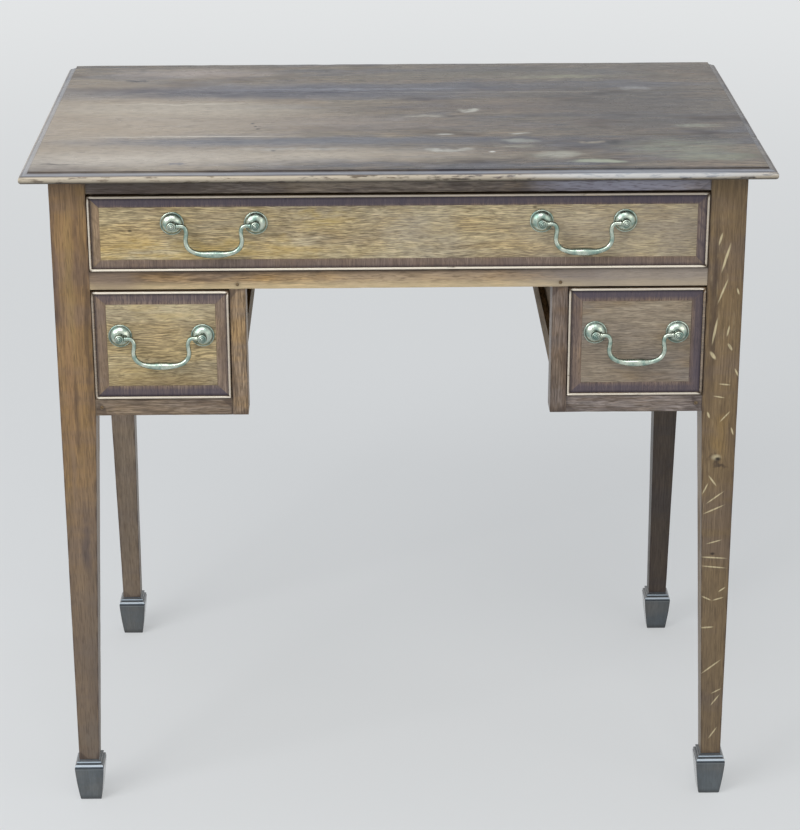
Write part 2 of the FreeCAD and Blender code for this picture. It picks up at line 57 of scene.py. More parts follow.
def hexColour(code):      # sRGB hex to the linear values that nodes take
    channels = [int(code[i:i + 2], 16) / 255 for i in (0, 2, 4)]
    linear = [c / 12.92 if c < 0.04045 else ((c + 0.055) / 1.055) ** 2.4 for c in channels]
    return (*linear, 1.0)


# Adds a node. A key is a setting's name or an input; a node or an output given for it is linked, and
# a node stands for its first output. A kind without a family of its own is a shader node's.
def addNode(tree, kind, settings=None):
    family = "" if kind.startswith(("Geometry", "Function", "NodeGroup")) else "ShaderNode"
    made = tree.nodes.new(family + kind)
    for key, value in (settings or {}).items():
        if isinstance(value, bpy.types.Node):
            value = value.outputs[0]
        if isinstance(value, bpy.types.NodeSocket):
            tree.links.new(value, made.inputs[key])
        elif isinstance(key, str) and hasattr(made, key):
            setattr(made, key, value)
        else:
            made.inputs[key].default_value = value
    return made


def newObject(name, data):
    made = bpy.data.objects.new(name, data)
    bpy.context.scene.collection.objects.link(made)
    return made


def emptyMaterial(name):      # hands back the function that adds nodes to it as well
    material = bpy.data.materials.new(name)
    material.use_nodes = True
    material.node_tree.nodes.clear()
    return material, partial(addNode, material.node_tree)


# Marks on the oak, in millimetres: a middle, half sizes, a tint and how strongly it
# covers. "core" is the share that is even, "scratchy" breaks a mark up along the grain, and
# soft=False gives it a clean outline.
topLevel = 787
frontPlane = -226


def mark(at, size, tint, strength, **more):
    return {"at": at, "size": size, "tint": tint, "strength": strength, **more}


def topMark(x, y, halfLength, halfWidth, tint, strength, **more):
    return mark((x, y, topLevel), (halfLength, halfWidth, 60), tint, strength, **more)


def frontMark(x, z, halfWidth, halfHeight, tint, strength, **more):
    return mark((x, frontPlane, z), (halfWidth, 60, halfHeight), tint, strength, **more)


def legMark(x, z, halfWidth, halfHeight, tint, strength, **more):
    return mark((x, frontPlane, z), (halfWidth, 30, halfHeight), tint, strength, **more)


def legShade(z, halfHeight, tint, strength, **more):      # on both front legs at that height
    return mark((0, frontPlane, z), (600, 600, halfHeight), tint, strength, **more)


# A line of wax or wear, or of painted highlight or shade, along the sides of a piece: how far in it
# lies, its half width and soft edge, in millimetres, and how strongly each side takes it.
def waxLine(at, half, edge, tint, broken=0, **on):
    return {"at": at, "half": half, "edge": edge, "tint": tint, "broken": broken, "on": on}


# features in a metre of oak, along the grain and across it
slowGrain = {
    "ripple": (22, 34), "wander": (2.4, 11), "ringShare": (3, 30), "tones": (1.4, 24), "warmth": (9, 34),
    "cool": (6, 24), "stains": (7, 16), "flecks": (38, 260), "fleckPatches": (6, 24), "grime": (22, 60),
    "rubbed": (18, 18),
}
breakScale = (60, 150, 300)      # the nicks that break a line up
raggedScale = 34.0               # the soft marks' edges
plainOak = {
    "light": "A8916F", "mid": "8B7352", "dark": "5E4A34", "pore": "3A2D20", "warm": "A9834A",
    "grime": "40332A", "rubbed": "B7A684", "stain": "4B3C30", "ray": "C4B08A", "cool": "77797E",
    "ringGap": 3.4, "pith": (12, 70), "wander": 5.0, "wave": 1.2,          # millimetres
    "poreSize": (10, 1.2), "fibreSize": (50, 1.6), "streakSize": (120, 7), "grainSize": (45, 1.5),
    "scratchSize": (55, 6), "grainDepth": 0.2, "arris": 0.45,
    "tones": 0.9, "warmth": 0.3, "coolness": 0.0, "streaks": 0.4, "rings": 0.35, "fibres": 0.45,
    "pores": 0.6, "rays": 0.0, "raySlant": 14, "stains": 0.35, "grimeReach": 0.5, "rub": 0.5,
    "roughness": 0.42, "coat": 0.0, "bump": 0.35, "turn": (0, 0, 0), "marks": [], "lines": [],
    "sides": {}, "overMarks": [], "frontOnly": False, "specular": 0.3, "jitter": (0.09, 0.022, 0.05),
}


def oakMaterial(name, changes, followsPiece=True):
    # Oak, sawn and scraped, then waxed for years: rings and open pores run along the board.
    # Pores are drawn a little coarser than real ones, so that they show.
    look = {**plainOak, **changes}
    material, add = emptyMaterial(name)
    place = add("TexCoord").outputs["Object"]
    if followsPiece:
        board = add("Attribute", {"attribute_name": "grain"}).outputs["Vector"]
    else:
        turn = tuple(math.radians(a) for a in look["turn"])
        board = add("Mapping", {"Rotation": turn, "Vector": place})

    def perMetre(name):
        along, across = slowGrain[name]
        return (along, across, across)

    def every(size):      # noise scale for features this long and this wide in millimetres
        return (1000 / size[0], 1000 / size[1], 1000 / size[1])

    def overlap(*masks):      # high only where each of the masks is, and thinned by each number
        made = masks[0]
        for mask in masks[1:]:
            made = add("Math", {"operation": "MULTIPLY", 0: made, 1: mask})
        return made

    def tinted(colour, tint, *masks):      # the tint laid over the colour where the masks overlap
        return add("Mix", {"data_type": "RGBA", 7: hexColour(tint),
            0: overlap(*masks), 6: colour}).outputs[2]

    def shaded(colour, factor, depth):      # darker where the factor is low, a little lighter where high
        level = add("MapRange", {"To Min": 1 - depth, "To Max": 1 + 0.8 * depth, "Value": factor})
        return add("VectorMath", {"operation": "SCALE", 0: colour, 3: level})

    # the grain runs in gentle waves
    ripple = add("Mapping", {"Scale": perMetre("ripple"), "Vector": board})
    ripple = add("TexNoise", {"Scale": 1.0, "Detail": 1.0, "Vector": ripple})
    wave = look["wave"] * mm * 2
    grain = add("VectorMath", {"operation": "MULTIPLY_ADD", 1: (0, wave, wave),
        0: ripple.outputs["Color"], 2: board})

    def stretched(scale, detail, low, high, rotation=(0, 0, 0), source=None):
        scaled = add("Mapping", {"Scale": scale, "Rotation": rotation, "Vector": source or grain})
        pattern = add("TexNoise", {"Scale": 1.0, "Detail": detail, "Roughness": 0.6, "Vector": scaled})
        return add("MapRange", {**eased, "From Min": low, "From Max": high,
            "Value": pattern.outputs["Fac"]})

    # growth rings: cylinders round a pith beside the board, bent by a slow wander
    wander = add("Mapping", {"Scale": perMetre("wander"), "Vector": grain})
    slow = add("TexNoise", {"Scale": 1.0, "Detail": 2.0, "Vector": wander})
    bent = add("VectorMath", {
        "operation": "MULTIPLY_ADD", 1: (0, look["wander"] * mm * 2, look["wander"] * mm * 6),
        0: slow.outputs["Color"], 2: grain})
    pith = (0, look["pith"][0] * mm, look["pith"][1] * mm)
    fromPith = add("VectorMath", {"operation": "MULTIPLY_ADD", 1: (0, 1, 1), 2: pith, 0: bent})
    radius = add("VectorMath", {"operation": "LENGTH", 0: fromPith})
    phase = add("Math", {"operation": "MULTIPLY", 1: 2 * math.pi / (look["ringGap"] * mm),
        0: radius.outputs["Value"]})
    ring = add("Math", {"operation": "SINE", 0: phase})
    ringLine = add("MapRange", {**eased, "From Min": -0.2, "From Max": 1.0, "Value": ring})
    ringShare = stretched(perMetre("ringShare"), 2, 0.3, 0.75)

    tones = stretched(perMetre("tones"), 4, 0.32, 0.68)
    warmth = stretched(perMetre("warmth"), 3, 0.46, 0.66)
    streaks = stretched(every(look["streakSize"]), 3, 0.45, 0.65)
    fibres = stretched(every(look["fibreSize"]), 3, 0.38, 0.68)
    pores = stretched(every(look["poreSize"]), 1, 0.53, 0.64)
    stains = stretched(perMetre("stains"), 4, 0.48, 0.74)
    colour = add("Mix", {"data_type": "RGBA", 6: hexColour(look["light"]), 7: hexColour(look["mid"]),
        0: overlap(tones, look["tones"])}).outputs[2]
    colour = tinted(colour, look["warm"], warmth, look["warmth"])
    if look["coolness"]:
        cool = stretched(perMetre("cool"), 4, 0.45, 0.66, source=place)
        colour = tinted(colour, look["cool"], cool, look["coolness"])
    colour = tinted(colour, look["dark"], streaks, look["streaks"])
    colour = tinted(colour, look["dark"], ringLine, ringShare, look["rings"])
    colour = tinted(colour, look["dark"], fibres, look["fibres"])
    colour = tinted(colour, look["stain"], stains, look["stains"])
    colour = shaded(colour, stretched(every(look["grainSize"]), 2, 0.36, 0.64), look["grainDepth"])

    if look["rays"]:
        slant = (0, 0, math.radians(look["raySlant"]))
        flecks = stretched(perMetre("flecks"), 2, 0.60, 0.68, slant)
        patches = stretched(perMetre("fleckPatches"), 1, 0.45, 0.6)
        colour = tinted(colour, look["ray"], flecks, patches, look["rays"])

    # the soft marks have ragged edges
    if look["marks"]:
        jitter = add("TexNoise", {"Scale": raggedScale, "Detail": 5.0, "Vector": place})
        ragged = add("VectorMath", {"operation": "MULTIPLY_ADD", 1: look["jitter"],
            0: jitter.outputs["Color"], 2: place})
        middle = Vector(look["jitter"]) / 2
        scratchy = stretched(every(look["scratchSize"]), 3, 0.3, 0.62)

    def laid(colour, marks):
        for spot in marks:
            soft = spot.get("soft", True)
            local = add("Mapping", {"vector_type": "TEXTURE",
                "Location": Vector(spot["at"]) * mm + (middle if soft else Vector()),
                "Rotation": tuple(math.radians(a) for a in spot.get("turn", (0, 0, 0))),
                "Scale": Vector(spot["size"]) * mm, "Vector": ragged if soft else place})
            away = add("VectorMath", {"operation": "LENGTH", 0: local})
            mask = add("MapRange", {**eased, "From Min": 1.0, "From Max": spot.get("core", 0.2),
                "To Max": spot["strength"], "Value": away.outputs["Value"]})
            colour = tinted(colour, spot["tint"], *([mask, scratchy] if spot.get("scratchy") else [mask]))
        return colour

    colour = laid(colour, look["marks"])
    colour = tinted(colour, look["pore"], pores, look["pores"])

    if followsPiece:      # grime that gathers beside the arrises, and arrises rubbed pale
        near = add("Attribute", {"attribute_name": "near"}).outputs["Fac"]
        patchy = stretched(perMetre("grime"), 3, 0.25, 0.7)
        colour = tinted(colour, look["grime"], near, patchy, look["grimeReach"])
        arris = add("MapRange", {"From Min": 0.84, "From Max": 0.97, "Value": near})
        colour = tinted(colour, look["grime"], arris, look["arris"])
        rubbed = add("Attribute", {"attribute_name": "rub"}).outputs["Fac"]
        rubPatch = stretched(perMetre("rubbed"), 3, 0.35, 0.6, source=place)
        colour = tinted(colour, look["rubbed"], rubbed, rubPatch, look["rub"])

    # A side is a plane: its axis, where it lies and which way is inwards. Each line keeps to the
    # side that is nearest.
    if look["lines"]:
        split = add("SeparateXYZ", {0: place}).outputs
        depths = {}
        inset = None
        for name, (axis, at, inward) in look["sides"].items():
            depths[name] = add("Math", {
                "operation": "MULTIPLY_ADD", 0: split[axis], 1: inward, 2: -at * inward})
            inset = depths[name] if inset is None else add("Math", {
                "operation": "MINIMUM", 0: inset, 1: depths[name]})
        facing = add("SeparateXYZ", {0: add("TexCoord").outputs["Normal"]}).outputs["Y"]
        toFront = add("MapRange", {"From Min": -0.25, "From Max": -0.6, "Value": facing})
        nearest = {}
        for name, depth in depths.items():
            spare = add("Math", {"operation": "SUBTRACT", 0: depth, 1: inset})
            nearest[name] = add("MapRange", {"From Min": 0.5 * mm, "From Max": 0.0, "Value": spare})
    for line in look["lines"]:
        off = add("Math", {"operation": "SUBTRACT", 1: line["at"] * mm, 0: inset})
        off = add("Math", {"operation": "ABSOLUTE", 0: off})
        band = add("MapRange", {
            "From Min": (line["half"] + line["edge"]) * mm, "From Max": line["half"] * mm, "Value": off})
        if look["frontOnly"]:
            band = overlap(band, toFront)
        if line["broken"]:
            band = overlap(band, stretched(breakScale, 3, line["broken"] - 0.1, line["broken"] + 0.06,
                source=place))
        for name, strength in line["on"].items():
            colour = tinted(colour, line["tint"], band, nearest[name], strength)
    colour = laid(colour, look["overMarks"])

    gloss = add("MapRange", {"To Min": look["roughness"] - 0.07, "To Max": look["roughness"] + 0.12,
        "Value": stains})
    height = add("Math", {"operation": "MULTIPLY_ADD", 1: -0.8, 0: pores, 2: fibres})
    bump = add("Bump", {"Strength": look["bump"], "Distance": 0.2 * mm, "Height": height})
    shader = add("BsdfPrincipled", {
        "IOR": 1.5, "Specular IOR Level": look["specular"], "Coat Weight": look["coat"],
        "Coat Roughness": 0.22, "Base Color": colour, "Roughness": gloss, "Normal": bump})
    add("OutputMaterial", {"Surface": shader})
    return material


# each visible board gets eased and worn arrises and faces that aren't quite flat
boardWork = {
    "easing": 0.7, "steps": 2, "pitch": 11.0,       # millimetres
    "sway": 0.22, "swayScale": 7.0,                 # slow unevenness of hand-planed wood, in a metre
    "dents": 0.5, "dentScale": 45.0, "dentLeast": 0.12, "dentShift": (7, 3, 5),
    "nearReach": 16.0, "nearPitch": 4.0, "sharp": 35.0, "cross": False,
}


def looseParts(bm):      # the separate solids of a mesh, as lists of vertices
    left = set(bm.verts)
    parts = []
    while left:
        stack = [left.pop()]
        part = list(stack)
        while stack:
            for edge in stack.pop().link_edges:
                for vert in edge.verts:
                    if vert in left:
                        left.remove(vert)
                        stack.append(vert)
                        part.append(vert)
        parts.append(part)
    return parts


def boxOf(points):
    low = Vector([min(p[i] for p in points) for i in range(3)])
    high = Vector([max(p[i] for p in points) for i in range(3)])
    return low, high


def samplesAlong(edges, pitch):
    points = []
    for edge in edges:
        start, end = edge.verts[0].co, edge.verts[1].co
        count = max(1, int((end - start).length / pitch))
        points += [start.lerp(end, i / count) for i in range(count + 1)]
    return points


def nearness(verts, samples, reach):
    tree = kdtree.KDTree(len(samples))
    for index, point in enumerate(samples):
        tree.insert(point, index)
    tree.balance()
    return [max(0.0, 1 - tree.find(v.co)[2] / reach) for v in verts]


def grainAxes(low, high, cross):
    order = sorted(range(3), key=lambda i: low[i] - high[i])      # longest first
    if cross:
        order = [order[1], order[0], order[2]]
    return order


def mergedCopy(node):      # a solid's own faces, put together from its loose triangles
    bm = bmesh.new()
    bm.from_mesh(frame["nodes"][node].data)
    bmesh.ops.remove_doubles(bm, verts=bm.verts, dist=1e-6)
    bmesh.ops.dissolve_limit(bm, angle_limit=math.radians(0.5), verts=bm.verts, edges=bm.edges)
    return bm


def workWood(node, material, changes=None):
    work = {**boardWork, **(changes or {})}
    bm = mergedCopy(node)
    rubLayer = bm.faces.layers.int.new("rubbed")
    sharp = math.radians(work["sharp"])
    arrises = [e for e in bm.edges if e.is_manifold and e.calc_face_angle(0) > sharp]
    samples = samplesAlong(arrises, work["nearPitch"] * mm)
    made = bmesh.ops.bevel(bm, geom=arrises, offset=work["easing"] * mm, offset_type="OFFSET",
        segments=work["steps"], profile=0.5, affect="EDGES", clamp_overlap=True)
    for face in made["faces"]:
        face[rubLayer] = 1

    low, high = boxOf([v.co for v in bm.verts])
    pitch = work["pitch"] * mm
    for axis in range(3):
        normal = Vector([float(i == axis) for i in range(3)])
        count = int((high[axis] - low[axis]) / pitch)
        for index in range(1, count + 1):
            point = low + normal * ((high[axis] - low[axis]) * index / (count + 1))
            bmesh.ops.bisect_plane(bm, geom=bm.verts[:] + bm.edges[:] + bm.faces[:], dist=2e-5,
                plane_co=point, plane_no=normal)

    bm.verts.ensure_lookup_table()
    bm.verts.index_update()
    near = nearness(bm.verts, samples, work["nearReach"] * mm)
    grain = [None] * len(bm.verts)
    for number, part in enumerate(looseParts(bm)):
        lucky = random.Random(node + str(number))
        partLow, partHigh = boxOf([v.co for v in part])
        order = grainAxes(partLow, partHigh, work["cross"])
        shift = Vector((lucky.uniform(0, 40), lucky.uniform(-0.02, 0.02), lucky.uniform(-0.02, 0.02)))
        middle = (partLow + partHigh) / 2
        for vert in part:
            local = vert.co - middle
            grain[vert.index] = Vector([local[i] for i in order]) + shift

    # hand-made unevenness, always inwards so that no piece grows
    bm.normal_update()
    middle = (low + high) / 2
    moves = []
    for vert in bm.verts:
        sway = noise.noise_vector(vert.co * work["swayScale"]) * work["sway"] * mm
        move = Vector([-math.copysign(abs(sway[i]), vert.co[i] - middle[i]) for i in range(3)])
        if any(face[rubLayer] for face in vert.link_faces):
            dent = noise.noise(vert.co * work["dentScale"] + Vector(work["dentShift"]))
            move -= vert.normal * max(0.0, dent - work["dentLeast"]) * work["dents"] * mm
        moves.append(move)
    for vert, move in zip(bm.verts, moves):
        vert.co += move

    mesh = bpy.data.meshes.new(node + ".worked")
    bm.to_mesh(mesh)
    rubbed = [float(face[rubLayer]) for face in bm.faces for _ in face.loops]
    bm.free()
    mesh.attributes.remove(mesh.attributes["rubbed"])
    along = [c for g in grain for c in g]
    mesh.attributes.new("grain", "FLOAT_VECTOR", "POINT").data.foreach_set("vector", along)
    mesh.attributes.new("near", "FLOAT", "POINT").data.foreach_set("value", near)
    mesh.attributes.new("rub", "FLOAT", "CORNER").data.foreach_set("value", rubbed)
    mesh.shade_smooth()
    mesh.materials.append(material)
    piece = newObject(node + ".worked", mesh)
    weighted = piece.modifiers.new("faces keep flat", "WEIGHTED_NORMAL")
    weighted.weight = 60
    dress(piece, node)


def dress(piece, node):
    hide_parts(node)
    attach(piece, bodyOf[node])


# the top: three boards, bleached, greyed and given a painted sheen at the left, darker in painted shade
# and scratched at the right
topMarks = [
    # pale patches over the left and front: a painted sheen of window light, with some bleaching
    topMark(-331, -50, 360, 330, "C0B09C", 0.75, core=0.1),
    topMark(-300, -200, 300, 56, "D2C8BA", 0.7, core=0.0),
    topMark(-70, -185, 260, 44, "CDC0AE", 0.65, core=0.0),
    topMark(-250, 24, 250, 56, "C6BBA9", 0.6, core=0.0),
    topMark(-60, -40, 200, 60, "A6978A", 0.5, core=0.0),
    topMark(-250, 210, 170, 40, "B8AAA2", 0.65, core=0.0),
    topMark(160, 200, 260, 40, "7E7A68", 0.5, scratchy=True),
    topMark(130, 225, 330, 90, "4C484A", 0.4, core=0.0),
    topMark(150, 34, 330, 60, "6B5A50", 0.5, core=0.0),
    topMark(120, -60, 260, 26, "8C7B6C", 0.6, scratchy=True),
    # dark bands along the joints, cooled blue-grey by a painted reflection
    topMark(-130, 112, 360, 56, "5C5F70", 0.75, core=0.2),
    topMark(-139, 106, 330, 36, "403F4C", 0.85, scratchy=True),
    topMark(-60, 128, 150, 24, "43424E", 0.75, scratchy=True),
    topMark(180, 130, 280, 44, "4C4E5E", 0.6, scratchy=True),
    topMark(271, 76, 210, 46, "343034", 0.75, scratchy=True),
    topMark(200, -127, 360, 36, "3C3A44", 0.75, scratchy=True),
    topMark(60, -124, 280, 26, "4C5060", 0.65, core=0.0),
    topMark(-170, -128, 300, 36, "727884", 0.6, core=0.1),
    topMark(-200, -124, 240, 26, "585C6A", 0.6, scratchy=True),
    topMark(-120, -160, 120, 10, "CCCCC8", 0.4, scratchy=True),
    topMark(-60, 122, 240, 8, "A8ACB8", 0.4, scratchy=True),
    topMark(-260, 50, 120, 7, "E2DAC8", 0.6, scratchy=True),
    # the right part darker: painted shade, away from the light at the left
    topMark(290, 10, 230, 260, "423D3E", 0.62, core=0.0),
    # on the moulding at the right: the step's painted shadow line and a painted cool highlight on the flat
    topMark(140, -245, 300, 4.5, "33323C", 0.75, core=0.3, soft=False),
    topMark(260, -249.5, 170, 1.6, "A9B6C2", 0.6, core=0.3, soft=False),
    topMark(88, 11, 19, 12, "CBC9BC", 0.85),
    topMark(29, -14, 40, 7, "B9B3A5", 0.6),
    topMark(55, -99, 14, 3.6, "E4E2DA", 0.9, soft=False),
    topMark(143, -96, 26, 5, "C4C1B5", 0.8),
    topMark(137, -130, 36, 11, "A4A69E", 0.75),
    topMark(56, -168, 22, 10, "C9C7BD", 0.8),
    topMark(105, -177, 5, 4, "ECEBE5", 0.95, soft=False),
    topMark(137, -154, 30, 8, "A3A193", 0.55),
    topMark(174, -190, 38, 20, "B2B0A2", 0.75),
    topMark(219, -220, 46, 10, "B4BAA4", 0.85),
    topMark(321, -165, 90, 60, "8E937E", 0.7, scratchy=True),
    topMark(352, -205, 60, 24, "949A84", 0.55),
    topMark(344, -67, 48, 12, "A6AA98", 0.75, scratchy=True),
    topMark(347, -119, 40, 20, "221F26", 0.8, scratchy=True),
    topMark(245, -139, 15, 13, "1C1A22", 0.95),
    topMark(226, -137, 14, 8, "A89C88", 0.7),
    topMark(300, 120, 30, 16, "A0A0A0", 0.6, scratchy=True),
    topMark(211, 182, 70, 16, "94937A", 0.6),
    topMark(-167, -44, 3.4, 4.2, "1F1815", 0.95, soft=False),
    topMark(-160, -70, 4.6, 4.2, "1F1815", 0.95, soft=False),
    topMark(-163, -58, 2.8, 3.4, "1F1815", 0.9, soft=False),
    topMark(-317, 172, 15, 9, "262430", 0.85),
    topMark(-368, -218, 20, 4, "332C2A", 0.75),
    topMark(-130, -164, 10, 5, "2C2830", 0.75),
    topMark(-240, -222, 9, 6, "5C6274", 0.6),
    topMark(-42, 170, 14, 3, "3C332D", 0.8, turn=(0, 0, -30), soft=False),
    topMark(-240, -103, 165, 2.6, "E2DCCE", 0.85, soft=False),
    topMark(120, 104, 200, 1.8, "B3ACA2", 0.7, soft=False),
]
topLow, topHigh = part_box("top_board_front")
topOak = {
    "light": "91836F", "mid": "6A5F54", "dark": "3A3130", "pore": "2A2426", "stain": "4A4652",
    "warm": "8B7660", "cool": "5A5E6C", "grime": "3A3238", "rubbed": "C2BBAA",
    "ringGap": 5.2, "pith": (30, 60), "wander": 7.0, "wave": 1.0,
    "poreSize": (14, 1.8), "fibreSize": (30, 2.6), "streakSize": (150, 11), "grainSize": (24, 3.4),
    "scratchSize": (26, 5), "grainDepth": 0.34, "arris": 0.0, "specular": 0.2,
    "tones": 1.0, "warmth": 0.6, "coolness": 0.75, "streaks": 0.3, "rings": 0.2, "fibres": 0.4,
    "pores": 0.28, "grimeReach": 0.0, "rub": 0.35, "roughness": 0.34, "bump": 0.4,
    "marks": topMarks,
    # from the edge in: a nose rubbed to bare wood with dark nicks and a painted highlight, a quirk with a
    # painted shadow line, a flat with a painted cool reflection and a thin painted highlight, and a step
    # with its painted shadow line
    "sides": {"front": (1, topLow.y, 1), "left": (0, topLow.x, 1), "right": (0, topHigh.x, -1)},
    "lines": [
        waxLine(5.6, 3.4, 0.4, "A2A5AE", front=0.6, left=0.5, right=0.2),
        waxLine(9.5, 0.4, 0.9, "26222A", front=0.6, left=0.4, right=0.5),
        waxLine(5.4, 0.5, 0.5, "AEBAC4", front=0.35, left=0.2),
        waxLine(0.0, 1.0, 0.8, "CCC0AC", front=0.9, left=0.4, broken=0.42),
        waxLine(0.0, 3.3, 0.3, "564840", right=0.55),
        waxLine(3.4, 0.3, 0.7, "26222A", front=0.6, left=0.3, right=0.5),
    ],
    # painted shade over the underside, and a painted cool highlight on the nose at the right
    "overMarks": [mark((0, 0, 774.0), (4000, 4000, 8.0), "1A1614", 1.0, core=0.0, soft=False),
        mark((270, -258, 782), (190, 5, 5), "D4DCE6", 0.5, core=0.4, soft=False)],
}
waxedTop = oakMaterial("waxed oak, bleached top", topOak)
topWork = {"easing": 0.5, "pitch": 9.0, "sway": 0.3, "dents": 0.7, "nearReach": 9.0}
for board in ("front", "middle", "back"):
    workWood("top_board_" + board, waxedTop, topWork)
print("top boards worked")

# legs: the left ones warm, the right front one quarter-sawn with pale ray flecks
legOak = {
    "light": "A2825A", "mid": "826645", "dark": "4A3828", "stain": "4E4038", "warm": "A08048",
    "pore": "33271E", "grime": "35292A", "cool": "6E6468", "ringGap": 6.0, "pith": (70, 50),
    "wave": 0.9, "poreSize": (16, 1.1), "fibreSize": (80, 1.6), "streakSize": (170, 5),
    "grainSize": (36, 1.5), "grainDepth": 0.14, "coolness": 0.3, "tones": 0.45,
    "streaks": 0.12, "rings": 0.06, "fibres": 0.2, "pores": 0.3, "stains": 0.1, "grimeReach": 0.18,
    "arris": 0.65, "rub": 0.3, "jitter": (0.012, 0.01, 0.09),
}
leftLegMarks = [
    legShade(180, 400, "68605A", 0.95, core=0.42),
    legMark(-365, 690, 7, 60, "A68A58", 0.35),
    legMark(-368, 625, 8, 90, "A28858", 0.35),
    legMark(-372, 545, 7, 110, "9E7C5C", 0.35),
    legMark(-382, 660, 5, 110, "5C4A4A", 0.5),
    legMark(-350, 600, 5, 190, "3C2E2A", 0.5),
    legMark(-356, 690, 4, 70, "54423C", 0.4),
    legMark(-366, 500, 4, 90, "4C3C36", 0.4),
    legMark(-362, 330, 7, 60, "4E4648", 0.55),
    legMark(-372, 420, 4, 80, "86705C", 0.5),
    legMark(-368, 70, 30, 70, "6E6862", 0.5, core=0.0),
]
# x and z of each fleck's middle, its half width and half length, and its slant
flecks = [
    (357, 699, 1.6, 9, 14), (364, 677, 1.8, 21, 15), (362, 638, 1.4, 18, 20), (355, 591, 1.7, 19, 9),
    (370, 591, 1.4, 8, 10), (354, 562, 2.6, 7, -35), (373, 572, 2.0, 6, -32), (379, 638, 1.3, 5, -18),
    (382, 541, 1.3, 7, -26), (369, 527, 1.1, 8, -84), (363, 512, 1.0, 8, -80), (352, 490, 1.6, 5, -20),
    (371, 488, 1.1, 10, 41), (380, 470, 1.3, 6, -17), (360, 409, 1.3, 10, -36), (352, 399, 1.1, 9, 24),
    (364, 388, 1.1, 15, 52), (363, 373, 1.2, 16, 65), (365, 332, 1.0, 11, 74), (365, 312, 1.2, 19, -86),
    (366, 300, 1.1, 18, -84), (359, 260, 1.2, 8, -64), (373, 259, 1.1, 8, 73), (377, 271, 1.1, 6, 53),
    (361, 222, 1.3, 10, 86), (368, 170, 1.2, 18, 51), (376, 138, 1.0, 8, 61), (375, 126, 1.1, 11, 35),
    (374, 82, 1.1, 11, 32),
]
rightLegMarks = [
    legShade(180, 400, "6A5E50", 0.6, core=0.2),
    legShade(60, 160, "5C544E", 0.5, core=0.0),
    legMark(352, 620, 6, 160, "3E312C", 0.6),
    legMark(364, 465, 16, 26, "9A7E50", 0.5),
]
rightLegMarks += [legMark(x, z, w, h, "D6C7A0", 0.85, core=0.45, soft=False, turn=(0, slant, 0))
    for x, z, w, h, slant in flecks]
rightLegMarks += [      # a knot, and a pin's dark hole below it
    legMark(365, 436, 16, 7, "3A2E28", 0.7),
    legMark(363, 438, 8, 5, "C9BB98", 0.8, soft=False),
    legMark(365, 436, 5, 3.4, "1C1512", 0.95, soft=False),
    legMark(364, 317, 4, 2.6, "2A211C", 0.85, soft=False),
]
warmLeg = oakMaterial("polished oak, warm streaks", {**legOak, "marks": leftLegMarks})
rayLeg = oakMaterial("polished oak, quarter sawn", {
    **legOak, "light": "8C7656", "mid": "705C44", "warm": "846C4A", "pith": (160, 20), "ringGap": 3.0,
    "wander": 3.0, "rings": 0.2, "rays": 0.2, "marks": rightLegMarks})
# painted shade: the back legs are darker and greyer, the left one more so lower down, the right one deeply
backLegLeftShaded = oakMaterial("polished oak, back left leg", {
    **legOak, "light": "91806C", "mid": "736454", "warm": "8A6E4A",
    "marks": [mark((0, -frontPlane, 150), (600, 600, 330), "6A6460", 0.5)]})
backLegRightShaded = oakMaterial("polished oak, back right leg", {
    **legOak, "light": "554A40", "mid": "433B35", "dark": "24201E", "warm": "4E402F", "cool": "3E3E46"})
corners = {"front_left": warmLeg, "front_right": rayLeg, "back_left": backLegLeftShaded,
    "back_right": backLegRightShaded}
for corner, wood in corners.items():
    workWood("leg_" + corner, wood)
# the collar's roll and bead are polished and carry painted highlights, with painted shade in the hollow
# between them and along the bottom of the foot
footOak = oakMaterial("oak foot, dark wax", {
    "light": "6A6D6D", "mid": "505355", "dark": "34363A", "stain": "2C2F34", "grime": "1E1E20",
    "rubbed": "9A9C9A", "warm": "645A50", "cool": "4C5A64", "coolness": 0.5, "tones": 0.7, "warmth": 0.25,
    "streaks": 0.15, "rings": 0.05, "fibres": 0.15, "pores": 0.12, "grimeReach": 0.3,
    "rub": 0.2, "roughness": 0.2, "coat": 0.7, "bump": 0.15, "grainDepth": 0.05, "arris": 0.2,
    "frontOnly": True, "sides": {"top": (2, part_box("foot_front_left")[1].z, -1)},
    "lines": [
        waxLine(1.6, 1.0, 0.6, "2A3038", top=0.8),
        waxLine(2.8, 0.5, 0.5, "B8C6D2", top=0.85),
        waxLine(4.8, 0.5, 0.6, "262C34", top=0.8),
        waxLine(6.9, 0.8, 0.8, "CCD8E2", top=0.9),
        waxLine(8.9, 0.7, 0.6, "4A5662", top=0.7),
        waxLine(10.4, 0.3, 0.5, "1C2026", top=0.7),
        waxLine(11.4, 0.2, 0.4, "8C9496", top=0.5),
        waxLine(54.0, 2.0, 5.0, "242424", top=0.5),
]})
footWork = {"easing": 0.35, "pitch": 5.0, "sway": 0.15, "dents": 0.7, "nearReach": 3.0, "dentScale": 90.0}
for corner in corners:
    workWood("foot_" + corner, footOak, footWork)
print("legs and feet worked")

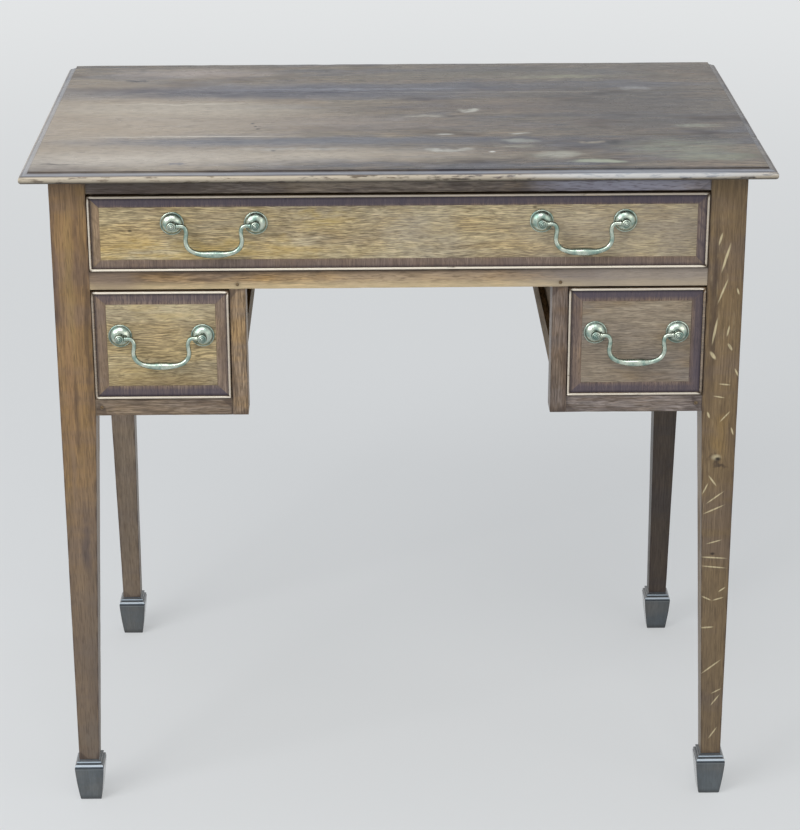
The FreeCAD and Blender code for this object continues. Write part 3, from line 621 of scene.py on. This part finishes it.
# the frame of rails and stiles, the side boards and the back boards
railOak = {
    "light": "D6B684", "mid": "AE8E64", "dark": "5E4932", "stain": "6A5747", "warm": "C79C58",
    "pore": "43331F", "grime": "3A2E2C", "cool": "7E7878", "coolness": 0.5, "stains": 0.4,
    "tones": 1.0, "warmth": 0.5, "streaks": 0.45, "streakSize": (60, 5), "rings": 0.2,
    "fibres": 0.4, "pores": 0.4, "poreSize": (12, 1.2), "fibreSize": (40, 1.4),
    "grainSize": (22, 1.2), "grainDepth": 0.34, "wave": 2.2, "grimeReach": 0.45,
    "arris": 0.6, "rub": 0.3}
middleRailMarks = [      # grey to the right, pale in the middle, dark beside the legs and stiles
    frontMark(330, 655, 330, 60, "9E948A", 0.6, core=0.1),
    frontMark(0, 655, 190, 60, "DCC4A2", 0.35, core=0.2),
    frontMark(-330, 655, 26, 60, "6E605A", 0.6),
    frontMark(210, 655, 40, 60, "6E6468", 0.6),
    frontMark(-215, 650, 22, 18, "6E5C50", 0.5),
]
railLow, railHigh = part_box("middle_rail")
railMaterial = oakMaterial("polished oak, rails", {
    **railOak, "marks": middleRailMarks,
    "sides": {"top": (2, railHigh.z, -1), "bottom": (2, railLow.z, 1)},
    "lines": [waxLine(0.0, 0.8, 5.0, "40332C", top=0.8), waxLine(1.5, 1.0, 8.0, "E8D2A6", bottom=0.5)],
    "overMarks": [frontMark(270, 650, 190, 60, "9C9288", 0.6, core=0.2),
        frontMark(-330, 650, 60, 60, "8A7868", 0.5, core=0.0)]})
lowRailLook = {**railOak, "light": "BEA688", "mid": "98846A", "warm": "AE8E5E", "stain": "5E524A"}
lowRailLeft = oakMaterial("polished oak, left bottom rail", lowRailLook)
lowRailRight = oakMaterial("polished oak, right bottom rail", {
    **lowRailLook, "light": "B0A49C", "mid": "8E8480", "warm": "9A866C"})
# a painted shadow of the top's overhang darkens the top rail near its upper edge
topRailMaterial = oakMaterial("polished oak, top rail", {
    **railOak, "light": "AFA292", "mid": "8F8378", "dark": "423936", "stain": "4C464A", "warm": "98805A",
    "marks": [frontMark(-60, 765, 120, 60, "B0A290", 0.5, scratchy=True),
        frontMark(-290, 765, 130, 60, "564A44", 0.65),
        frontMark(250, 765, 160, 60, "B8B8CA", 0.85)],
    "sides": {"top": (2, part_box("top_rail")[1].z, -1)},
    "lines": [waxLine(0.0, 4.0, 6.0, "1E1919", top=0.85)]})
stileOak = {**railOak, "streaks": 0.2, "wave": 1.0, "tones": 0.6, "fibres": 0.25}
stileLeft = oakMaterial("polished oak, left stile", {
    **stileOak, "light": "C4A478", "mid": "A0835E", "warm": "B88E50"})
stileRight = oakMaterial("polished oak, right stile", {
    **stileOak, "light": "8D7C6C", "mid": "6E5F53", "warm": "8A6C50", "stain": "504A54"})
sideMaterial = oakMaterial("polished oak, side boards", {
    **railOak, "light": "A68A64", "mid": "886E50", "warm": "9C7C4E", "ringGap": 6.0, "wander": 14.0,
    "rings": 0.4, "warmth": 0.3, "streaks": 0.2, "fibres": 0.25, "fibreSize": (80, 1.6), "pores": 0.3,
    "poreSize": (18, 1.1), "grainSize": (45, 1.5), "grainDepth": 0.16})
backMaterial = oakMaterial("dry oak, back boards", {
    "light": "8D7B64", "mid": "75644F", "dark": "4D4032", "roughness": 0.7, "bump": 0.6,
    "ringGap": 5.5, "wander": 12.0, "grimeReach": 0.2, "rub": 0.1, "warmth": 0.15})
frameWoods = {"top_rail": topRailMaterial, "middle_rail": railMaterial, "stile_left": stileLeft,
    "stile_right": stileRight, "bottom_rail_left": lowRailLeft, "bottom_rail_right": lowRailRight}
for node, wood in frameWoods.items():
    workWood(node, wood)
for side in ("left", "right"):
    workWood("side_panel_" + side, sideMaterial)
for level in ("lower", "upper"):
    workWood("back_board_" + level, backMaterial, {"pitch": 20.0, "easing": 0.8})
print("frame, sides and back worked")

# drawer fronts: a straw-brown field inside dark crossbanding, and a thin rounded bead
fieldOak = {
    "light": "D8C8A0", "mid": "BBA77C", "dark": "6E5A42", "pore": "54452F", "stain": "8E7D68",
    "warm": "C9A968", "cool": "948F88", "coolness": 0.4, "ringGap": 2.4, "pith": (20, 90),
    "wander": 4.0, "wave": 2.8, "poreSize": (9, 1.1), "fibreSize": (30, 1.3),
    "grainSize": (17, 1.1), "grainDepth": 0.42, "warmth": 0.5, "streaks": 0.2,
    "rings": 0.15, "fibres": 0.4, "pores": 0.35, "stains": 0.3, "grimeReach": 0.25, "arris": 0.0}
longMarks = [
    frontMark(-200, 688, 230, 16, "CBAB5C", 0.45, scratchy=True),
    frontMark(-300, 692, 60, 22, "C4A45C", 0.35, scratchy=True),
    frontMark(-90, 725, 60, 10, "CDB162", 0.45, scratchy=True),
    # greyer towards the middle and right: partly a painted shade, with the light falling from the left
    frontMark(230, 712, 200, 60, "A89E92", 0.5, core=0.0),
    frontMark(320, 712, 90, 60, "8C8276", 0.5, core=0.0),
    frontMark(20, 712, 70, 60, "ACA69C", 0.4, core=0.0),
    frontMark(-297, 713, 4, 2.4, "2E241C", 0.8, soft=False),
    frontMark(150, 737, 4, 2.4, "2E241C", 0.7, soft=False),
]
leftMarks = [
    frontMark(-268, 622, 50, 16, "CBAE68", 0.35, scratchy=True),
    frontMark(-300, 545, 40, 22, "C0A25E", 0.4, scratchy=True),
    frontMark(-262, 534, 40, 10, "7A6650", 0.5, scratchy=True),
    # painted shade over the lower part of the field, below the handle, and painted light over its upper
    # part
    frontMark(-266, 520, 200, 52, "94805A", 0.55, core=0.0),
    frontMark(-266, 640, 200, 40, "E4D4AC", 0.5, core=0.0),
]
fields = {
    "long_drawer": oakMaterial("polished oak, long drawer", {**fieldOak, "marks": longMarks}),
    "left_drawer": oakMaterial("polished oak, left drawer", {
        **fieldOak, "light": "D2C096", "mid": "B19D74", "wander": 6.0, "warmth": 0.3, "wave": 4.5,
        "marks": leftMarks}),
    # a darker, greyer copy of the field oak: partly a painted shade, with the light falling from the left
    "right_drawer": oakMaterial("polished oak, right drawer", {
        **fieldOak, "light": "AFA18C", "mid": "968876", "dark": "5A4C40", "stain": "736762",
        "pore": "463A32", "warm": "A08660", "cool": "7E7C80", "pores": 0.25, "wave": 2.0, "fibres": 0.25,
        "grainDepth": 0.24}),
}
# how far each side shows the painted highlight on the bead's crest, the painted shade on the banding
# beside the bead, and where the banding is worn brown
crestOn = {
    "long_drawer": dict(top=0.6, left=0.6, right=0.5, bottom=0.95),
    "left_drawer": dict(top=0.95, left=0.2, right=0.55, bottom=0.8),
    "right_drawer": dict(top=0.7, left=0.6, right=0.1, bottom=0.75),
}
shadeOn = {
    "long_drawer": dict(top=0.85, left=0.05, right=0.55, bottom=0.35),
    "left_drawer": dict(top=0.55, left=0.1, right=0.15, bottom=0.75),
    "right_drawer": dict(top=0.85, left=0.3, right=0.7, bottom=0.72),
}
wornOn = {
    "long_drawer": dict(left=0.4, right=0.05, bottom=0.25),
    "left_drawer": dict(left=0.25, right=0.2),
    "right_drawer": dict(left=0.12),
}
# painted shade: the thin dark line in the gap beside the bead
leastShade = 0.55      # of the thin dark line beside the bead
bandingOak = {
    "light": "AA9278", "mid": "8A735F", "dark": "4E3F38", "stain": "5C5058", "pore": "3A2E2A",
    "warm": "9A7450", "cool": "7C7680", "coolness": 0.35, "ringGap": 2.2, "tones": 1.0, "rings": 0.3,
    "fibres": 0.5, "pores": 0.45, "poreSize": (8, 1.3), "fibreSize": (30, 1.7),
    "streakSize": (60, 5), "grimeReach": 0.15, "rub": 0.1, "roughness": 0.3, "coat": 0.2}
beadOak = {
    "light": "8A745E", "mid": "6A5746", "dark": "3A2F25", "rubbed": "C9B78F", "grimeReach": 0.0,
    "rub": 0.2, "roughness": 0.2, "coat": 0.7, "frontOnly": True}
frontWork = {"easing": 0.3, "sway": 0.18, "nearReach": 14.0}
bandWork = {"easing": 0.12, "steps": 1, "cross": True, "sway": 0.05, "dents": 0.1, "nearReach": 5.0}
beadWork = {"easing": 0.3, "pitch": 8.0, "sway": 0.12, "dents": 0.6, "nearReach": 2.0}
for drawer, field in fields.items():
    low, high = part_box(drawer + "_cockbead")
    sides = {"left": (0, low.x, 1), "right": (0, high.x, -1), "bottom": (2, low.z, 1),
        "top": (2, high.z, -1)}
    beside = {name: max(leastShade, strength) for name, strength in shadeOn[drawer].items()}
    wearAndShade = [waxLine(10.0, 5.0, 4.0, "A08662", **wornOn[drawer]),
        waxLine(3.0, 7.0, 7.0, "4A4350", **shadeOn[drawer]),
        waxLine(3.0, 0.6, 2.8, "2A2430", **beside)]
    banding = oakMaterial("polished oak, crossbanding of " + drawer,
        {**bandingOak, "sides": sides, "lines": wearAndShade})
    # the painted highlight on the crest sits a little up and to the left of the bead's middle, towards the
    # light
    leaning = {name: (axis, at + (0.5 * mm if axis else -0.5 * mm), inward)
        for name, (axis, at, inward) in sides.items()}
    crestHighlight = [waxLine(1.5, 0.95, 0.5, "F0E6D4", broken=0.3, **crestOn[drawer])]
    bead = oakMaterial("polished oak, bead of " + drawer, {**beadOak, "sides": leaning, "lines": crestHighlight})
    workWood(drawer + "_front", field, frontWork)
    workWood(drawer + "_crossbanding", banding, bandWork)
    workWood(drawer + "_cockbead", bead, beadWork)
print("drawer fronts worked")

# hidden oak keeps its modelled shape and gets a dry, unpolished face
dryOak = {
    "light": "A08A6C", "mid": "85704F", "dark": "5B4935", "roughness": 0.68, "bump": 0.5,
    "ringGap": 4.5, "wander": 9.0, "stains": 0.4, "warmth": 0.15}
frontToBack = (0, 0, 90)
dryAcross = oakMaterial("dry oak, grain across", dryOak, followsPiece=False)
dryDeep = oakMaterial("dry oak, grain front to back", {**dryOak, "turn": frontToBack}, followsPiece=False)
endOak = oakMaterial("oak pins, end grain", {
    "light": "8A7558", "mid": "6E5C46", "dark": "40342A", "turn": frontToBack}, followsPiece=False)
innerWoods = {
    "drawer_guides": dryDeep, "long_drawer_runners": dryDeep, "long_drawer_kickers": dryDeep,
    "small_drawer_outer_runners": dryDeep, "small_drawer_inner_bearers": dryDeep,
    "small_drawer_kickers": dryDeep, "drawer_stops": dryAcross, "top_glue_blocks": dryAcross,
    "rail_pins": endOak}
for drawer in fields:
    innerWoods[drawer + "_sides"] = dryDeep
    innerWoods[drawer + "_back"] = innerWoods[drawer + "_bottom"] = dryAcross
for node, wood in innerWoods.items():
    for holder in frame["nodes"][node].material_slots:
        holder.material = wood
print("inner pieces painted")

brassLook = {
    "metal": "CCD5C6", "dull": "86A096", "tarnishAndShade": "3A4C47", "roughness": 0.22,
    "clouds": 130.0, "scratches": 900.0,            # in a metre
}


def brassMaterial(name, look):
    # Cast brass, once lacquered, gone pale and greenish in clouds and dark in its hollows; the faces
    # turned away from the front get a painted shade in the same dark colour.
    material, add = emptyMaterial(name)
    place = add("TexCoord").outputs["Object"]
    bloom = add("TexNoise", {"Scale": look["clouds"], "Detail": 4.0, "Vector": place})
    bloomMask = add("MapRange", {**eased, "From Min": 0.35, "From Max": 0.7,
        "Value": bloom.outputs["Fac"]})
    hollow = add("Attribute", {"attribute_name": "hollow"}).outputs["Fac"]
    facing = add("SeparateXYZ", {0: add("TexCoord").outputs["Normal"]}).outputs["Y"]
    # painted shade on the faces turned away from the front, laid with the tarnish of the hollows
    turnedAwayShade = add("MapRange", {**eased, "From Min": -0.62, "From Max": -0.1, "To Max": 0.85,
        "Value": facing})
    kept = add("Math", {"operation": "MAXIMUM", 0: hollow, 1: turnedAwayShade})
    dulled = add("Mix", {"data_type": "RGBA", 6: hexColour(look["metal"]), 7: hexColour(look["dull"]),
        0: bloomMask})
    colour = add("Mix", {"data_type": "RGBA", 7: hexColour(look["tarnishAndShade"]),
        0: kept, 6: dulled.outputs[2]})
    fine = add("TexNoise", {"Scale": look["scratches"], "Detail": 3.0, "Vector": place})
    rough = add("MapRange", {"To Min": look["roughness"], "To Max": look["roughness"] + 0.2,
        "Value": bloomMask})
    bump = add("Bump", {"Strength": 0.12, "Distance": 0.1 * mm, "Height": fine.outputs["Fac"]})
    shader = add("BsdfPrincipled", {
        "Metallic": 1.0, "Base Color": colour.outputs[2], "Roughness": rough, "Normal": bump})
    add("OutputMaterial", {"Surface": shader})
    return material


agedBrass = brassMaterial("cast brass, aged", brassLook)

# outlines run from the middle out or from the front back: radius, distance before the drawer's
# face, and how much tarnish lies there
rose = {
    "steps": 56,
    "outline": [(2.9, 6.2, 1.0), (3.6, 6.48, 0.6), (4.8, 6.38, 0.1), (6.6, 5.9, 0), (8.4, 5.0, 0),
        (9.9, 3.85, 0), (11.0, 2.65, 0.1), (11.5, 1.9, 0.5), (11.75, 1.55, 0.9), (12.05, 1.55, 0.4),
        (12.6, 1.5, 0), (13.05, 1.2, 0), (13.2, 0.7, 0.2), (13.2, 0.0, 0.9)],
}
bolt = {
    "steps": 40,
    "outline": [(0.01, 17.15, 0), (0.9, 17.1, 0), (1.35, 16.75, 0.7), (1.6, 16.5, 1.0), (2.1, 16.75, 0.2),
        (2.7, 16.6, 0), (3.05, 16.1, 0.8), (3.3, 15.85, 1.0), (3.9, 15.9, 0.2), (4.6, 15.5, 0),
        (5.1, 14.8, 0), (5.4, 13.8, 0), (5.48, 12.4, 0), (5.42, 10.8, 0), (5.1, 9.4, 0),
        (4.5, 8.3, 0.2), (3.8, 7.6, 0.8), (3.6, 7.3, 1.0), (4.1, 7.05, 0.5), (4.4, 6.75, 0.3),
        (4.0, 6.4, 0.8), (2.4, 6.3, 1.0), (2.4, -23.4, 0.5), (1.9, -24.0, 0.4), (0.01, -24.0, 0.4)],
}


def turnedMesh(name, part):      # the outline turned about the Y axis, its tarnish kept for the brass
    bm = bmesh.new()
    hollowLayer = bm.verts.layers.float.new("hollow")
    steps = part["steps"]
    rings = []
    for radius, out, hollow in part["outline"]:
        ring = []
        for index in range(steps):
            angle = 2 * math.pi * index / steps
            vert = bm.verts.new((radius * mm * math.cos(angle), -out * mm, radius * mm * math.sin(angle)))
            vert[hollowLayer] = hollow
            ring.append(vert)
        rings.append(ring)
    for ring, following in zip(rings, rings[1:]):
        for index in range(steps):
            other = (index + 1) % steps
            bm.faces.new((ring[index], following[index], following[other], ring[other]))
    bmesh.ops.recalc_face_normals(bm, faces=bm.faces)
    mesh = bpy.data.meshes.new(name)
    bm.to_mesh(mesh)
    bm.free()
    mesh.shade_smooth()
    mesh.materials.append(agedBrass)
    return mesh


def partTree(name, inputs):      # an empty geometry tree with a geometry and the named inputs
    tree = bpy.data.node_groups.new(name, "GeometryNodeTree")
    for label, kind in {"Geometry": "Geometry", **inputs, "Finish": "Material"}.items():
        tree.interface.new_socket(label, in_out="INPUT", socket_type="NodeSocket" + kind)
    tree.interface.new_socket("Geometry", in_out="OUTPUT", socket_type="NodeSocketGeometry")
    add = partial(addNode, tree)
    return tree, add, add("NodeGroupInput").outputs


def endTree(add, made, finish):      # plain geometry in its material
    real = add("GeometryNodeRealizeInstances", {"Geometry": made})
    painted = add("GeometryNodeSetMaterial", {"Geometry": real, "Material": finish})
    add("NodeGroupOutput", {"Geometry": painted})


def copiesTree():      # one copy of a part at each point, each turned a little
    tree, add, start = partTree("copies at points", {"Part": "Object", "Turn": "Float"})
    part = add("GeometryNodeObjectInfo", {"As Instance": True, "Object": start["Part"]})
    chance = add("FunctionNodeRandomValue", {"data_type": "FLOAT", "Seed": 11, 3: start["Turn"]})
    spin = add("CombineXYZ", {"Y": chance.outputs[1]})
    copies = add("GeometryNodeInstanceOnPoints", {
        "Points": start["Geometry"], "Instance": part.outputs["Geometry"], "Rotation": spin})
    endTree(add, copies, start["Finish"])
    return tree


def settled(obj, tree, values):      # the plain mesh that a geometry tree makes of an object
    modifier = obj.modifiers.new("nodes", "NODES")
    modifier.node_group = tree
    sockets = {item.name: item.identifier for item in tree.interface.items_tree if item.in_out == "INPUT"}
    for name, value in values.items():
        modifier[sockets[name]] = value
    bpy.context.view_layer.update()
    graph = bpy.context.evaluated_depsgraph_get()
    mesh = bpy.data.meshes.new_from_object(obj.evaluated_get(graph), depsgraph=graph)
    bpy.data.objects.remove(obj)
    return mesh


def postPlaces(node):      # the middle of each rose, on the drawer's face
    bm = bmesh.new()
    bm.from_mesh(frame["nodes"][node].data)
    bmesh.ops.remove_doubles(bm, verts=bm.verts, dist=1e-6)
    places = []
    for part in looseParts(bm):
        low, high = boxOf([v.co for v in part])
        places.append(Vector(((low.x + high.x) / 2, high.y, (low.z + high.z) / 2)))
    bm.free()
    return sorted(places, key=lambda p: p.x)


copiesAtPoints = copiesTree()
fullTurn = 6.28
nutEasing = 0.4
facePast = 10      # behind this much of a drawer's front there are only nuts
masters = {name: newObject(name + ".master", turnedMesh(name, part))
    for name, part in (("rose", rose), ("bolt", bolt))}


def copiesOf(kind, places):
    points = bpy.data.meshes.new("points")
    points.from_pydata(places, [], [])
    holder = newObject("points", points)
    return settled(holder, copiesAtPoints, {"Part": masters[kind], "Turn": fullTurn, "Finish": agedBrass})


def nutsOf(node):      # the nuts inside the drawer, copied from the solid with their corners eased
    bm = mergedCopy(node)
    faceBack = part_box(node.replace("handle_bolts", "front"))[0].y + facePast * mm
    spare = [v for part in looseParts(bm) if boxOf([p.co for p in part])[0].y < faceBack for v in part]
    bmesh.ops.delete(bm, geom=spare, context="VERTS")
    corners = [e for e in bm.edges if e.calc_face_angle(0) > 1]
    bmesh.ops.bevel(bm, geom=corners, offset=nutEasing * mm, offset_type="OFFSET", segments=2, profile=0.5,
        affect="EDGES", clamp_overlap=True)
    return bm


for drawer in fields:
    places = postPlaces(drawer + "_roses")
    roses = newObject(drawer + "_roses.turned", copiesOf("rose", places))
    dress(roses, drawer + "_roses")
    nuts = nutsOf(drawer + "_handle_bolts")
    nuts.from_mesh(copiesOf("bolt", places))
    boltMesh = bpy.data.meshes.new(drawer + "_bolts")
    nuts.to_mesh(boltMesh)
    nuts.free()
    boltMesh.materials.append(agedBrass)
    bolts = newObject(drawer + "_handle_bolts.turned", boltMesh)
    dress(bolts, drawer + "_handle_bolts")
for master in masters.values():
    bpy.data.objects.remove(master)
print("roses, bolts and nuts turned")

bail = {
    # from a post's middle towards the middle of the handle, and down
    "path": [(3.2, 0), (6.0, 0), (9.0, 0.05), (11.8, -0.1), (14.3, -1.6), (15.9, -4.8), (16.2, -8.5),
        (15.6, -13), (15.2, -17), (15.9, -21.4), (18.1, -25.6), (22.2, -29), (28, -31.3),
        (35.5, -32.4)],
    "pitch": 92.5, "drop": 32.5,
    # radii of the rod, and along it, from the middle or from the end, where they change
    "rod": {"Neck": 2.4, "Arm": 2.8, "Grip": 4.4, "Grip Half": 23.0, "Arm End": 54.0, "Collar": 3.2,
        "Collar At": 2.9, "Collar Half": 1.1},
}


def bailTree():      # a round rod along the curve, thick in its arms, with a swollen grip
    tree, add, start = partTree("bail rod", {name: "Float" for name in bail["rod"]})
    smooth = add("GeometryNodeCurveSplineType", {"spline_type": "CATMULL_ROM",
        "Curve": start["Geometry"]})
    even = add("GeometryNodeResampleCurve", {"Count": 180, "Curve": smooth})
    along = add("GeometryNodeSplineParameter").outputs["Length"]
    whole = add("GeometryNodeSplineLength").outputs["Length"]
    half = add("Math", {"operation": "MULTIPLY", 1: 0.5, 0: whole})
    offset = add("Math", {"operation": "SUBTRACT", 0: along, 1: half})
    away = add("Math", {"operation": "ABSOLUTE", 0: offset})
    arm = add("MapRange", {
        **eased, "Value": away, "From Min": start["Grip Half"], "From Max": start["Arm End"],
        "To Min": start["Arm"], "To Max": start["Neck"]})
    gripShare = add("MapRange", {**eased, "To Min": 1.0, "To Max": 0.0,
        "Value": away, "From Max": start["Grip Half"]})
    swell = add("Math", {"operation": "SUBTRACT", 0: start["Grip"], 1: start["Arm"]})
    grown = add("Math", {"operation": "MULTIPLY_ADD", 0: gripShare, 1: swell, 2: arm})
    toEnd = add("Math", {"operation": "SUBTRACT", 0: half, 1: away})
    fromRing = add("Math", {"operation": "SUBTRACT", 0: toEnd, 1: start["Collar At"]})
    ringAway = add("Math", {"operation": "ABSOLUTE", 0: fromRing})
    ringShare = add("MapRange", {**eased, "To Min": 1.0, "To Max": 0.0,
        "Value": ringAway, "From Max": start["Collar Half"]})
    ring = add("Math", {"operation": "MULTIPLY", 0: ringShare, 1: start["Collar"]})
    radius = add("Math", {"operation": "MAXIMUM", 0: grown, 1: ring})
    section = add("GeometryNodeCurvePrimitiveCircle", {"Resolution": 24, "Radius": 1.0})
    rod = add("GeometryNodeCurveToMesh", {
        "Fill Caps": True, "Curve": even, "Profile Curve": section, "Scale": radius})
    endTree(add, rod, start["Finish"])
    return tree


bailRod = bailTree()


def makeBail(node, pivotZ):
    low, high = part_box(node)
    middleX = (low.x + high.x) / 2
    middleY = (low.y + high.y) / 2
    half = bail["pitch"] / 2
    left = [(x - half, z) for x, z in bail["path"]]
    points = left + [(0, -bail["drop"])] + [(-x, z) for x, z in reversed(left)]
    curve = bpy.data.curves.new(node + " line", "CURVE")
    curve.dimensions = "3D"
    spline = curve.splines.new("POLY")
    spline.points.add(len(points) - 1)
    for point, (x, z) in zip(spline.points, points):
        point.co = (middleX + x * mm, middleY, pivotZ + z * mm, 1)
    holder = newObject("line", curve)
    values = {name: size * mm for name, size in bail["rod"].items()}
    mesh = settled(holder, bailRod, {**values, "Finish": agedBrass})
    mesh.shade_smooth()
    piece = newObject(node + ".cast", mesh)
    dress(piece, node)


for joint in frame["joints"]:
    if joint["type"] == "hinge":
        makeBail(bodies[joint["child"]][0], joint["pos_m"][2])
print("bails cast")


def seenDirectly(add):      # 1 for rays from the camera, by reflection or through glass
    paths = add("LightPath").outputs
    seen = add("Math", {"operation": "MAXIMUM", 0: paths["Is Camera Ray"], 1: paths["Is Glossy Ray"]})
    seen = add("Math", {"operation": "MAXIMUM", 0: seen, 1: paths["Is Transmission Ray"]})
    return seen


# a matt pale floor that keeps the object's shadow; far from it, the floor fades into the backdrop
pale = hexColour("E3E5E6")
floorMaterial, addFloor = emptyMaterial("pale floor")
floorPlace = addFloor("TexCoord").outputs["Object"]
floorAway = addFloor("VectorMath", {"operation": "LENGTH", 0: floorPlace})
fade = addFloor("MapRange", {**eased, "From Min": 0.5, "From Max": 5.0, "To Min": 0.5,
    "Value": floorAway.outputs["Value"]})
share = addFloor("Math", {"operation": "MULTIPLY", 0: seenDirectly(addFloor), 1: fade})
matt = addFloor("BsdfDiffuse", {"Color": hexColour("E6E8E9")})
glow = addFloor("Emission", {"Color": pale})
mixed = addFloor("MixShader", {0: share, 1: matt, 2: glow})
addFloor("OutputMaterial", {"Surface": mixed})
floorMesh = bpy.data.meshes.new("floor")
reach = 30.0
floorMesh.from_pydata([(-reach, -reach, 0), (reach, -reach, 0), (reach, reach, 0), (-reach, reach, 0)],
    [], [(0, 1, 2, 3)])
floorMesh.materials.append(floorMaterial)
newObject("floor", floorMesh)

world = bpy.data.worlds.new("studio")
bpy.context.scene.world = world
world.use_nodes = True
world.node_tree.nodes.clear()
addSky = partial(addNode, world.node_tree)
ambient = addSky("Background", {"Color": hexColour("E6EBF0"), "Strength": 0.45})
backdrop = addSky("Background", {"Color": pale, "Strength": 1.0})
sky = addSky("MixShader", {0: seenDirectly(addSky), 1: ambient, 2: backdrop})
addSky("OutputWorld", {"Surface": sky})

lamps = [
    {"name": "window", "at": (-2.9, -2.6, 2.5), "size": (2.2, 1.8), "power": 72, "tint": "FFFFFF"},
    {"name": "skylight", "at": (-0.5, -2.4, 3.4), "size": (2.6, 1.2), "power": 34, "tint": "FFFFFF"},
    {"name": "fill", "at": (2.6, -2.9, 1.5), "size": (2.4, 1.8), "power": 16, "tint": "FFF8EE"},
    {"name": "overhead", "at": (-0.4, 0.3, 3.2), "size": (2.6, 2.0), "power": 10, "tint": "F2F6FF"},
]
target = Vector((0, 0, 0.5))
for lamp in lamps:
    light = bpy.data.lights.new(lamp["name"], "AREA")
    light.shape = "RECTANGLE"
    light.size, light.size_y = lamp["size"]
    light.energy = lamp["power"]
    light.color = hexColour(lamp["tint"])[:3]
    holder = newObject(lamp["name"], light)
    holder.location = lamp["at"]
    holder.rotation_euler = (target - Vector(lamp["at"])).to_track_quat("-Z", "Y").to_euler()

camera = {"at": (-38.2, -2845.2, 1498.7), "pitch": -21.002, "yaw": -0.850, "roll": -0.153, "lens": 107.08}
cameraData = bpy.data.cameras.new("camera")
cameraData.sensor_width = 36.0
cameraData.lens = camera["lens"]
cameraObject = newObject("camera", cameraData)
cameraObject.location = Vector(camera["at"]) * mm
turned = Euler((math.radians(90 + camera["pitch"]), 0, math.radians(camera["yaw"])))
turned = turned.to_quaternion() @ Quaternion((0, 0, 1), math.radians(camera["roll"]))
cameraObject.rotation_euler = turned.to_euler()
bpy.context.scene.camera = cameraObject
bpy.context.scene.view_settings.view_transform = "Standard"
print("stage set")
